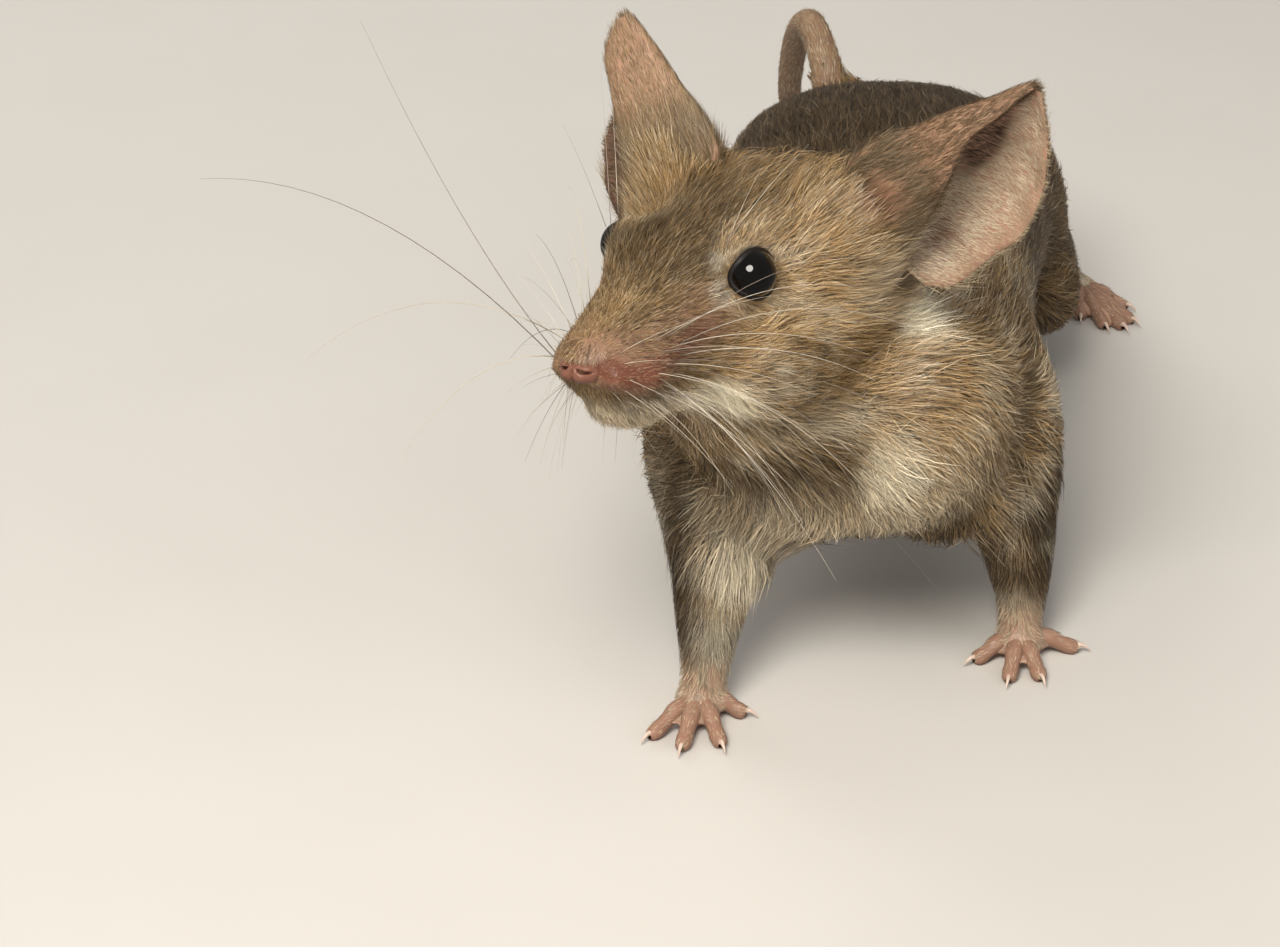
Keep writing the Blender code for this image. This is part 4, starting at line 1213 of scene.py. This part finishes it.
def coat_kinds(p, h):
    """Which tufts each piece of coat may take; a tuft goes to the first piece that fits it."""
    head, leg, hind = head_share(h) > 0.5, leg_share(p, h) > 0.5, hind_share(p) > 0.5
    return {"face": head & (h[:, 1] < 14), "crown": head & (h[:, 2] > 1.0), "cheeks": head,
            "forelegs": leg, "hind_legs": hind, "breast": p[:, 1] < 4, "shoulders": p[:, 1] < 22,
            "back": p[:, 2] > 17, "flanks": np.ones(len(p), bool)}


def lay_coat():
    """All tufts of head, trunk and legs, sorted into pieces."""
    centres = flesh_points[flesh_triangles].mean(1)
    density = tuft_density(centres, to_head(centres))
    roots, normals = scatter(flesh_triangles, density, flesh_points, flesh_normals)
    normals, h, count = unit(normals), to_head(roots), len(roots)
    coat, bare = markings(roots, h)
    coat[:, 1:] = np.clip(coat[:, 1:] + chance.normal(0, (0.14, 0.11), (count, 2)), 0, 1)
    length, rise = tuft_measures(roots, h, bare[:, 1])
    ways, free = tuft_ways(roots, h, normals)
    mids, tips = bent_tufts(roots, normals, ways, free, length, rise)
    roll = np.clip(chance.normal(0, ROLL_SPREAD, count), -ROLL_MOST, ROLL_MOST)
    widths = (0.033 + 0.008 * length) * (1 - 0.20 * head_share(h)) * chance.uniform(0.7, 1.25, count)
    points, lit = ribbons(roots - normals * ROOT_DEPTH, mids, tips, ways, normals, roll, widths)
    points[..., 2] = np.maximum(points[..., 2], 0.05)
    tone = np.clip(chance.normal(0.5, 0.25, count) + 0.05 * wave(roots, 2.2, 41), 0, 1)
    left = np.ones(count, bool)
    for name, chosen in coat_kinds(roots, h).items():
        mine = np.flatnonzero(left & chosen)
        left[mine] = False
        coat_piece(name, points[mine], lit[mine], coat[mine], bare[mine], tone[mine],
                   unwrapped(name, roots[mine], h[mine]))


lay_coat()

# %% [markdown]
# The ears carry a down of their own. In the hollow the hairs are pale, lean across it towards the
# rear margin, and get shorter at the rim. Outside they are browner and run from root to tip,
# longest at the root. Tail and toes have a few fine short hairs, which lie along them.

# %% Down on the ears
EAR_DENSITY, TAIL_DENSITY, TOE_DENSITY = 68.0, 15.0, 16.0


def lay_down(roots, normals, ways, length, widths, rises):
    """Short tufts on a smooth surface, straight along it and lifted a little."""
    count = len(roots)
    ways = flattened(ways + chance.normal(0, 0.16, (count, 3)), normals)
    rise = chance.uniform(*rises, count)[:, None]
    mids = roots + ways * (length * 0.5)[:, None] + normals * rise * 0.8
    tips = roots + ways * length[:, None] + normals * rise * 0.9
    roll = np.clip(chance.normal(0, ROLL_SPREAD, count), -ROLL_MOST, ROLL_MOST)
    points, lit = ribbons(roots - normals * 0.03, mids, tips, ways, normals, roll,
                          chance.uniform(*widths, count))
    points[..., 2] = np.maximum(points[..., 2], 0.03)
    return points, lit


def surface_roots(name, density, *carried):
    """Roots, normals and carried values on one of the skin's finer surfaces."""
    points, faces = parts[name]
    faces = triangles(faces)
    normals = normals_of(mesh_of(points, faces))
    return scatter(faces, np.full(len(faces), density), points, normals, *carried)


def ear_regions(u, v, outer, s, out):
    """Shares on an ear, where u goes across from the free edge to the margin, v from root to tip, and s is
    mm from the root. The dark edge and the painted shadow along the flap's crease are on the near ear, and
    the painted shade on the margin is on the far one."""
    at = SimpleNamespace(inner=outer < 0.5, bowl=(outer < 0.5) & (u > 0.42),
                         flap=(outer > 0.5) & (u < 0.45))
    at.low = smoothstep(5.0, 0.0, s)
    at.rim = smoothstep(0.90, 0.98, u)
    # The free edge is dark partly by its own hair and partly by painted shadow from the flap's crease; the
    # far ear's margin is painted shade.
    at.edge = smoothstep(0.22, 0.08, u) * (out > 0) * smoothstep(0.20, 0.35, v)
    at.margin = smoothstep(0.65, 0.85, u) * smoothstep(8.0, 5.5, s) * (out < 0)
    # Painted shadow along the flap's crease on the near ear, and painted shade behind the free edge.
    past = u - 0.70 + 0.17 * smoothstep(0.5, 0.8, v)
    at.fold = smoothstep(0.07, -0.01, past) * smoothstep(0.30, 0.46, v) * (out > 0)
    at.behind_edge = smoothstep(0.44, 0.30, u) * smoothstep(0.28, 0.45, v)
    return at


def ear_marks(at, spot, out):
    """The markings of an ear's hairs: pale in the bowl and dark on the flap; dark at the edge partly by its
    own hair and partly by painted shadow; painted shadow along the flap's crease, and painted shade on the
    far ear's margin and behind the free edge.
    """
    cream = np.where(at.bowl, 0.70 * (1 - at.margin) * (1 - 0.5 * at.rim), np.where(at.flap, 0.05, 0.26))
    buff = np.where(at.inner, 0.50, 0.25) + 0.2 * at.low
    if out > 0:
        outside = np.where(at.flap, 0.72, 0.30 + 0.25 * at.low)
    else:
        outside = np.where(at.flap, 0.30 + 0.3 * at.low, 0.34 + 0.3 * at.low)
    dark = np.where(at.bowl, np.maximum(0.92 * at.margin, 0.9 * at.fold), outside)
    dark = np.maximum(dark, 0.85 * at.edge) + chance.normal(0, 0.1, len(spot))
    coat = np.stack([cream * (1 - at.edge) * (1 - at.fold), buff, dark], -1)
    # Painted shade in the hollow behind the free edge and along the flap's crease.
    shade = at.inner * np.maximum(0.50 * at.behind_edge, 0.45 * at.fold)
    return coat, np.stack([np.zeros(len(spot)), 0.28 * (1 - at.low) + 0.7 * spot, shade], -1)


def ear_down():
    """Tufts on both faces of both ears, unwrapped along and across each ear."""
    made = []
    for side, out in SIDES.items():
        roots, normals, where = surface_roots("ear_" + side, EAR_DENSITY, ear_places())
        spot = flushed(to_head(roots))
        keep = chance.uniform(size=len(spot)) > 0.8 * spot
        roots, normals, spot = roots[keep], unit(normals[keep]), spot[keep]
        root, along, across, _ = ear_axes(side)
        count = len(roots)
        u, v, outer = where[keep].T
        at = ear_regions(u, v, outer, (to_head(roots) - root) @ along, out)
        ways = np.where(at.bowl[:, None], 0.55 * along + 0.85 * across, along + 0.12 * across) @ TURN.T
        length = np.where(at.bowl, 0.78 - 0.3 * at.rim, 0.80 + 1.3 * at.low)
        length = length * chance.uniform(0.65, 1.3, count)
        points, lit = lay_down(roots, normals, ways, length, (0.022, 0.038), (0.04, 0.16))
        coat, bare = ear_marks(at, spot, out)
        tone = np.clip(0.5 + chance.normal(0, 0.22, count) * np.where(at.bowl, 0.6, 1.0), 0, 1)
        flat = np.stack([(out > 0) * 0.5 + 0.48 * u, (outer > 0.5) * 0.5 + 0.48 * v], -1)
        made.append((points, lit, coat, bare, tone, flat))
    coat_piece("ears", *(np.concatenate(v) for v in zip(*made)), start=0.3)


# %% Down on tail and toes
def fine_hairs(name, roots, normals, way, flat, lengths, widths, rises, coat):
    """A piece of coat of short fine hairs, all of one marking."""
    count = len(roots)
    points, lit = lay_down(roots, normals, way, chance.uniform(*lengths, count), widths, rises)
    tone = np.clip(chance.normal(0.5, 0.22, count), 0, 1)
    coat_piece(name, points, lit, np.tile(coat, (count, 1)), np.zeros((count, 3)), tone, flat)


def tail_down():
    """Fine hairs along the tail, unwrapped round it and along it."""
    rows = spline(TAIL, TAIL_STEPS)
    ring = np.linspace(0, 1, len(rows)).repeat(TAIL_SIDES)
    ahead = unit(np.gradient(rows[:, :3], axis=0)).repeat(TAIL_SIDES, 0)
    roots, normals, way, share = surface_roots("tail", TAIL_DENSITY, ahead, ring[:, None])
    normals = unit(normals)
    turn = np.arctan2(normals[:, 0], normals[:, 2]) / (2 * np.pi) + 0.5
    fine_hairs("tail", roots, normals, way, np.stack([turn, share[:, 0]], -1),
               (0.5, 1.0), (0.030, 0.045), (0.04, 0.16), (0.25, 0.4, 0.45))


def toe_down():
    """Fine pale hairs on the tops of the toes, along each toe, unwrapped from above."""
    ring = len(spline(TOE_LINE, TOE_STEPS)) * TOE_SIDES
    lengthwise = np.concatenate([np.tile(way, (ring, 1)) for _, way, _ in toe_bases()])
    roots, normals, way = surface_roots("toes", TOE_DENSITY, lengthwise)
    top = normals[:, 2] > 0.1
    roots, normals, way = roots[top], unit(normals[top]), way[top]
    flat = np.stack([(roots[:, 0] + 20) / 50, (roots[:, 1] + 15) / 90], -1)
    fine_hairs("toes", roots, normals, way, flat, (0.35, 0.7), (0.028, 0.042), (0.03, 0.10),
               (0.35, 0.5, 0.1))


ear_down()
tail_down()
toe_down()
bpy.data.objects.remove(body_skin)

# %% [markdown]
# ## Eyes, claws and whiskers
# The eyes are black all through and wet, so they are plain smooth balls, a little fuller at the
# cornea, whose whole look comes from gloss. The lids already hold them. Claws are small hooked
# cones of pale horn.

# %% Eyes
EYE_ROWS, EYE_COLUMNS = 40, 56
CORNEA = 0.03
for side, out in SIDES.items():
    points, faces = ball(rows=EYE_ROWS, columns=EYE_COLUMNS)
    fuller = 1 + CORNEA * smoothstep(0.55, 1.0, points @ (GAZE * (out, 1, 1)))
    points = from_head(points * fuller[:, None] * EYE_RADIUS + side_eye(out))
    eyeball = add_object("eyeball_" + side, mesh_of(*outward(points, faces)))
    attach(eyeball, "root")
    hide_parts("eye_" + side)

# %% Claws
claws = add_object("claws", mesh_of(*toe_tubes(CLAW_LINE, CLAW_SIDES, CLAW_SPAN)))
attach(claws, "root")

# %% [markdown]
# Whiskers spring from rows of follicles on each side of the muzzle and sweep out and back; the
# hindmost are the longest. Each is a thin tapering tube on a bowed path. A few stand over each eye,
# on the cheek and under the chin, and many short ones hang along the lip. Every row below is a
# root, a direction and a reach, in head axes, and the seven longest are given by their tips.

# %% Whiskers
LONGEST = {"left": [((2.2, -22.0, 36.5), 1.0), ((3.9, -24.0, 20.0), 3.0), ((-3.4, -26.0, 22.5), 2.0)],
           "right": [((-48.0, 5.0, 37.2), 4.0), ((-35.5, 0.0, 51.5), -2.0), ((-40.5, 0.0, 25.2), 4.0),
                     ((-33.6, -5.0, 19.7), 3.0)]}
SINGLE = (((4.2, 9.6, 6.9), (0.30, 0.25, 1.0), 11.0), ((4.8, 11.2, 7.4), (0.55, 0.6, 1.0), 8.0),
          ((7.0, 15.5, -3.0), (1.0, 0.9, -0.5), 8.0), ((1.2, 7.0, -5.4), (0.35, 0.4, -1.0), 5.0),
          ((5.2, 10.0, 7.0), (0.5, -0.1, 1.0), 7.0), ((0.7, 4.8, -5.1), (0.2, 0.2, -1.0), 3.6))
FOLLICLE_ROWS, FOLLICLES = 5, 5
HANGING, SHORT = 12, 34
WHISKER_STEPS, WHISKER_SIDES = 16, 5
WHISKER_ROOT, WHISKER_TIP = 0.040, 0.008
WHISKER_SEED, TONE_SEED = 19, 3


def whisker_lines():
    """Root, tip, bow and thickness of each whisker, in design axes. A whisker's tip hangs by drop
    and its middle rises by bow, both upright, and its root starts a little under the skin."""
    pick = np.random.default_rng(WHISKER_SEED)
    found = []

    def grow(at, way, reach, size, bow, drop=0.0, sunk=0.5):
        """One whisker from a place in head axes, along a direction of any length, for its reach."""
        way = unit(np.array(way))
        tip = from_head(at + way * reach) - (0, 0, drop)
        found.append((*from_head(at - way * sunk), *tip, bow, size))

    for side, out in SIDES.items():
        for tip, bow in LONGEST[side]:
            at = (3.4 * out, 4.6 + pick.uniform(-1, 1), -1.2 + pick.uniform(-0.8, 0.8))
            found.append((*from_head(at), *tip, bow, 1.1 if out < 0 else 0.8))
        for row in range(FOLLICLE_ROWS):
            for k in range(FOLLICLES):
                at = np.array((out * (2.1 + 0.36 * k), 2.2 + 1.15 * k, 0.6 - 0.72 * row + 0.1 * k))
                reach = (6.0 + 3.0 * k) * pick.uniform(0.75, 1.1)
                lift = 0.75 - 0.42 * row + pick.normal(0, 0.1)
                way = (out * 1.0, 0.15 + 0.22 * k + pick.normal(0, 0.1), lift)
                grow(at, way, reach, 0.55 + 0.1 * k, 0.008 * reach ** 2, 0.012 * reach ** 2, 0.6)
        for at, way, reach in SINGLE:
            grow(np.array(at) * (out, 1, 1), np.array(way) * (out, 1, 1), reach, 0.6, 0.4, sunk=0.6)
        for _ in range(HANGING):
            share = pick.uniform(0, 1)
            low = -1.8 - 1.9 * share + pick.normal(0, 0.4)
            at = np.array((out * (2.2 + 2.0 * share), 2.8 + 6.0 * share, low))
            way = (out * 0.75, 0.55 + pick.normal(0, 0.15), -0.55 + pick.normal(0, 0.2))
            reach = pick.uniform(6.0, 13.0)
            grow(at, way, reach, 0.62, 0.018 * reach ** 2, 0.030 * reach ** 2)
        for _ in range(SHORT):
            share = pick.uniform(0, 1)
            low = -1.6 - 1.9 * share + pick.normal(0, 0.35)
            at = np.array((out * (1.6 + 1.8 * share), 1.6 + 6.2 * share, low))
            way = (out * 0.8, 0.5 + pick.normal(0, 0.2), -0.7 + pick.normal(0, 0.25))
            grow(at, way, pick.uniform(1.6, 4.2), 0.42, 0.15)
    return np.array(found)


lines = whisker_lines()
count = len(lines)
t = np.linspace(0, 1, WHISKER_STEPS)[None, :, None]
paths = lines[:, None, :3] * (1 - t) + lines[:, None, 3:6] * t
paths = paths + lines[:, None, 6:7] * 4 * t * (1 - t) * (0, 0, 1)
radii = (WHISKER_ROOT + (WHISKER_TIP - WHISKER_ROOT) * t[..., 0]) * lines[:, 7:]
points, faces = tube(paths, radii, WHISKER_SIDES)
tone = np.random.default_rng(TONE_SEED).uniform(size=count)
strand = np.stack([np.tile(np.repeat(t[0, :, 0], WHISKER_SIDES), count),
                   np.repeat(tone, WHISKER_SIDES * WHISKER_STEPS), np.zeros(len(points))], -1)
whiskers = add_object("whiskers", mesh_of(*outward(points, faces), {"strand": strand}))
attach(whiskers, "root")
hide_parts("whisker_pad_left", "whisker_pad_right")
print("whiskers:", count)

# %% [markdown]
# ## Materials
# Colour is written as sums. One class wraps a socket, so that plus, minus and times add Math nodes,
# and one method adds any other node. The coat's colour is a chain of mixes on the markings: grey
# root, tan band, dark tip, then buff and cream over it.

# %% Shader tools
class Value:
    """A socket that can be added to, subtracted from and multiplied."""

    def __init__(self, graph, socket):
        self.graph = graph
        self.socket = socket

    def math(self, operation, *terms):
        """A Math node on these terms."""
        node = self.graph.node("ShaderNodeMath", {"operation": operation}, dict(enumerate(terms)))
        return Value(self.graph, node.outputs[0])

    def __add__(self, other):
        return self.math("ADD", self, other)

    def __sub__(self, other):
        return self.math("SUBTRACT", self, other)

    def __rsub__(self, other):
        return self.math("SUBTRACT", other, self)

    def __mul__(self, other):
        return self.math("MULTIPLY", self, other)

    __radd__ = __add__
    __rmul__ = __mul__

    def ramp(self, low, high):
        """0 below low, 1 above high, and smooth between."""
        settings = {"interpolation_type": "SMOOTHSTEP"}
        node = self.graph.node("ShaderNodeMapRange", settings, {0: self, 1: low, 2: high})
        return Value(self.graph, node.outputs[0])


class Graph:
    """A material's nodes."""

    def __init__(self, name):
        self.material = bpy.data.materials.new(name)
        self.material.use_nodes = True
        self.tree = self.material.node_tree
        self.shader = self.tree.nodes["Principled BSDF"]

    def node(self, kind, settings=None, sockets=None):
        """Any node: its settings first, then a value or a link for each socket."""
        node = self.tree.nodes.new(kind)
        for key, value in (settings or {}).items():
            setattr(node, key, value)
        for key, value in (sockets or {}).items():
            self.feed(node.inputs[key], value)
        return node

    def feed(self, socket, value):
        """A link where the value is another socket's, and otherwise the socket's own setting."""
        if isinstance(value, Value):
            self.tree.links.new(value.socket, socket)
        elif isinstance(value, tuple) and len(value) == 3 and socket.type == "RGBA":
            socket.default_value = (*value, 1.0)
        else:
            socket.default_value = value

    def mix(self, share, a, b, blend="MIX"):
        """Colour a where share is 0 and b where it is 1."""
        settings = {"data_type": "RGBA", "blend_type": blend}
        return Value(self, self.node("ShaderNodeMix", settings, {0: share, 6: a, 7: b}).outputs[2])

    def attribute(self, name):
        """The three numbers of a vertex attribute."""
        found = self.node("ShaderNodeAttribute", {"attribute_name": name})
        numbers = self.node("ShaderNodeSeparateXYZ", None, {0: Value(self, found.outputs["Vector"])})
        return [Value(self, socket) for socket in numbers.outputs]

    def noise(self, scale, detail=3.0):
        """Noise in the object's own space, so many waves to the metre."""
        where = self.node("ShaderNodeTexCoord").outputs["Object"]
        settings = {"Vector": Value(self, where), "Scale": scale, "Detail": detail}
        return Value(self, self.node("ShaderNodeTexNoise", None, settings).outputs[0])

    def bump(self, height, strength, distance):
        """Relief from a height, in metres of distance at full height."""
        sockets = {"Strength": strength, "Distance": distance, "Height": height}
        found = self.node("ShaderNodeBump", None, sockets)
        self.feed(self.shader.inputs["Normal"], Value(self, found.outputs[0]))

    def set(self, **values):
        """The shader's sockets, by name with _ for a space."""
        for key, value in values.items():
            self.feed(self.shader.inputs[key.replace("_", " ")], value)


# %% Colours of hair and skin
GREY_ROOT = (0.045, 0.033, 0.021)
TAN_BAND = (0.28, 0.173, 0.074)
BUFF_BAND = (0.56, 0.352, 0.150)
DARK_TIP = (0.032, 0.020, 0.010)
CREAM_HAIR = (0.92, 0.84, 0.65)
PINK_HAIR = (0.31, 0.18, 0.115)
WHISKER_BASE = (0.10, 0.075, 0.055)
BROWN_WHISKER, PALE_WHISKER = (0.16, 0.12, 0.09), (0.70, 0.62, 0.50)
PINK_SKIN = (0.50, 0.29, 0.20)
RED_SKIN = (0.155, 0.050, 0.030)
MOTTLED_SKIN = (0.40, 0.25, 0.17)
# The colour that painted shade sinks to, and the lids' rims' own black.
NEAR_BLACK = (0.009, 0.006, 0.005)
MOTTLE_SCALE, GRAIN_SCALE = 900.0, 5200.0


def coat_colour(g, along, tone):
    """The agouti coat: root, band and tip, then the markings, then each tuft's own tone."""
    cream, buff, dark = g.attribute("coat")
    band = g.mix(buff, TAN_BAND, BUFF_BAND)
    hair = g.mix(along.ramp(0.0, 0.40), GREY_ROOT, band)
    tip = along.ramp(0.50, 1.0) * (dark * 0.7 + 0.20)
    hair = g.mix(tip, hair, DARK_TIP)
    hair = g.mix(dark * 0.94, hair, DARK_TIP)
    hair = g.mix(along.ramp(0.45, 0.9) * tone.ramp(0.50, 0.80) * (1 - dark) * 0.70, hair, CREAM_HAIR)
    hair = g.mix(tone.ramp(0.30, 0.12) * 0.75, hair, DARK_TIP)
    hair = g.mix(cream, hair, CREAM_HAIR)
    hair = g.mix(g.attribute("bare")[1] * 0.60, hair, PINK_HAIR)
    level = tone * 1.25 + 0.375
    grey = g.node("ShaderNodeCombineColor", None, {0: level, 1: level, 2: level})
    return g.mix(1.0, hair, Value(g, grey.outputs[0]), "MULTIPLY")


# %% Coat and whiskers
def fur_material():
    """The coat's colour, sunk towards black where a place lies in shade, with a soft sheen."""
    g = Graph("agouti_fur")
    along, tone, _ = g.attribute("strand")
    colour = g.mix(g.attribute("bare")[2], coat_colour(g, along, tone), NEAR_BLACK)
    g.set(Base_Color=colour, Roughness=0.48, Specular_IOR_Level=0.38)
    return g.material


def whisker_material():
    """Dark at the root, then brown or pale, whisker by whisker."""
    g = Graph("whisker")
    along, tone, _ = g.attribute("strand")
    hair = g.mix(tone.ramp(0.2, 0.6), BROWN_WHISKER, PALE_WHISKER)
    g.set(Base_Color=g.mix(along.ramp(0.0, 0.3), WHISKER_BASE, hair), Roughness=0.35)
    return g.material


fur = fur_material()
coat_pieces = [obj for obj in bpy.data.objects if obj.name.startswith("coat_")]
for obj in coat_pieces:
    obj.data.materials.append(fur)
whiskers.data.materials.append(whisker_material())
print("fur on", len(coat_pieces), "pieces")

# %% [markdown]
# Bare skin is pink and moist, creased finely, and redder along the lips. Where the coat grows the skin
# takes the coat's own root colours, which stand partly for the underfur and partly for painted shade
# beneath it, so thin places never show a pale gap.

# %% Skin, eyes and claws
def skin_material():
    """Pink to red by the markings, mottled, with the coat's root colours under hair as underfur and painted
    shade, sunk towards black by painted shade and on the lids by their own black, and a fine grain.
    """
    g = Graph("mouse_skin")
    pink, red, shade = g.attribute("bare")
    mottle, fine = g.noise(MOTTLE_SCALE), g.noise(GRAIN_SCALE, 4.0)
    # Under hair the skin takes the coat's root colours: the underfur, and painted shade beneath it.
    under = coat_colour(g, mottle * 0.5, fine)
    tint = g.mix(red, PINK_SKIN, RED_SKIN)
    tint = g.mix(mottle.ramp(0.45, 0.75) * (0.45 - red * 0.35), tint, MOTTLED_SKIN)
    tint = g.mix(shade, g.mix(pink, under, tint), NEAR_BLACK)
    g.set(Base_Color=tint, Roughness=0.62 - pink * 0.14 - red * pink * 0.20 - shade * 0.08,
          Specular_IOR_Level=0.4, Subsurface_Weight=0.12, Subsurface_Radius=(1.0, 0.35, 0.2),
          Subsurface_Scale=0.0006)
    g.bump(mottle * 0.5 + fine * 0.5, 0.5, 0.00012)
    return g.material


def eye_material():
    """Black under a clear wet coat."""
    g = Graph("wet_black")
    g.set(Base_Color=g.mix(g.noise(1500.0), (0.0015, 0.001, 0.001), (0.004, 0.003, 0.0025)),
          Roughness=0.04, Specular_IOR_Level=0.25, Coat_Weight=0.45, Coat_Roughness=0.02)
    return g.material


def claw_material():
    """Pale horn, streaked a little."""
    g = Graph("claw_horn")
    g.set(Base_Color=g.mix(g.noise(3000.0), (0.62, 0.42, 0.33), (0.80, 0.66, 0.55)), Roughness=0.35)
    return g.material


skin.data.materials.append(skin_material())
claws.data.materials.append(claw_material())
wet_black = eye_material()
for side in SIDES:
    bpy.data.objects["eyeball_" + side].data.materials.append(wet_black)

# %% [markdown]
# ## Floor, light and camera
# A plain pale floor, one round soft light close to the lens as in a studio portrait of something
# small, two weaker ones at the side and behind, a wide soft one overhead and an even pale surround.
# The camera is a long lens that looks down thirty degrees.

# %% Floor
FLOOR_HALF = 1.5
corners = [(x * FLOOR_HALF, y * FLOOR_HALF, 0) for x, y in ((-1, -1), (1, -1), (1, 1), (-1, 1))]
floor_mesh = bpy.data.meshes.new("floor")
floor_mesh.from_pydata(corners, [], [(0, 1, 2, 3)])
floor = add_object("floor", floor_mesh)
floor.visible_glossy = False
g = Graph("pale_floor")
g.set(Base_Color=g.mix(g.noise(60.0) * 0.5, (0.60, 0.57, 0.53), (0.66, 0.63, 0.59)), Roughness=0.75)
floor.data.materials.append(g.material)

# %% Camera
CAMERA_AT = np.array([-16.4, -222.7, 144.3])
CAMERA_TILT = 60.0
SENSOR, LENS = 36.0, 98.4375
camera = bpy.data.cameras.new("camera")
camera.sensor_width = SENSOR
camera.lens = LENS
camera.clip_start, camera.clip_end = 0.01, 10.0
eye_point = add_object("camera", camera)
eye_point.location = (CAMERA_AT - SHIFT) * MM
eye_point.rotation_euler = (math.radians(CAMERA_TILT), 0, 0)
bpy.context.scene.camera = eye_point


# %% Light
def softbox(name, at, towards, size, power, tint):
    """A round area light, in design mm, turned towards a point."""
    lamp = bpy.data.lights.new(name, "AREA")
    lamp.shape = "DISK"
    lamp.size = size * MM
    lamp.energy = power
    lamp.color = tint
    obj = add_object(name, lamp)
    obj.location = (np.array(at) - SHIFT) * MM
    obj.rotation_euler = Vector(np.array(towards, float) - at).to_track_quat("-Z", "Y").to_euler()
    return obj


softbox("key", (-75.0, -190.0, 264.0), (0, 0, 25), 160.0, 1.06, (1.0, 0.96, 0.88))
fill = softbox("fill", (260.0, -120.0, 200.0), (0, 20, 20), 260.0, 0.22, (1.0, 0.98, 0.96))
rim = softbox("rim", (-160.0, 260.0, 220.0), (0, 30, 20), 200.0, 0.35, (1.0, 0.98, 0.96))
sky = add_object("overhead", bpy.data.lights.new("overhead", "SUN"))
sky.data.energy, sky.data.angle, sky.data.color = 0.78, math.radians(70), (1.0, 0.98, 0.95)
sky.rotation_euler = (math.radians(18), math.radians(-12), 0)
fill.visible_glossy = rim.visible_glossy = sky.visible_glossy = False
SURROUND_TINT, SURROUND_POWER = (0.93, 0.92, 0.90, 1), 0.22
world = bpy.data.worlds.new("surround")
world.use_nodes = True
background = world.node_tree.nodes["Background"]
background.inputs["Color"].default_value = SURROUND_TINT
background.inputs["Strength"].default_value = SURROUND_POWER
bpy.context.scene.world = world
bpy.context.scene.view_settings.view_transform = "Standard"
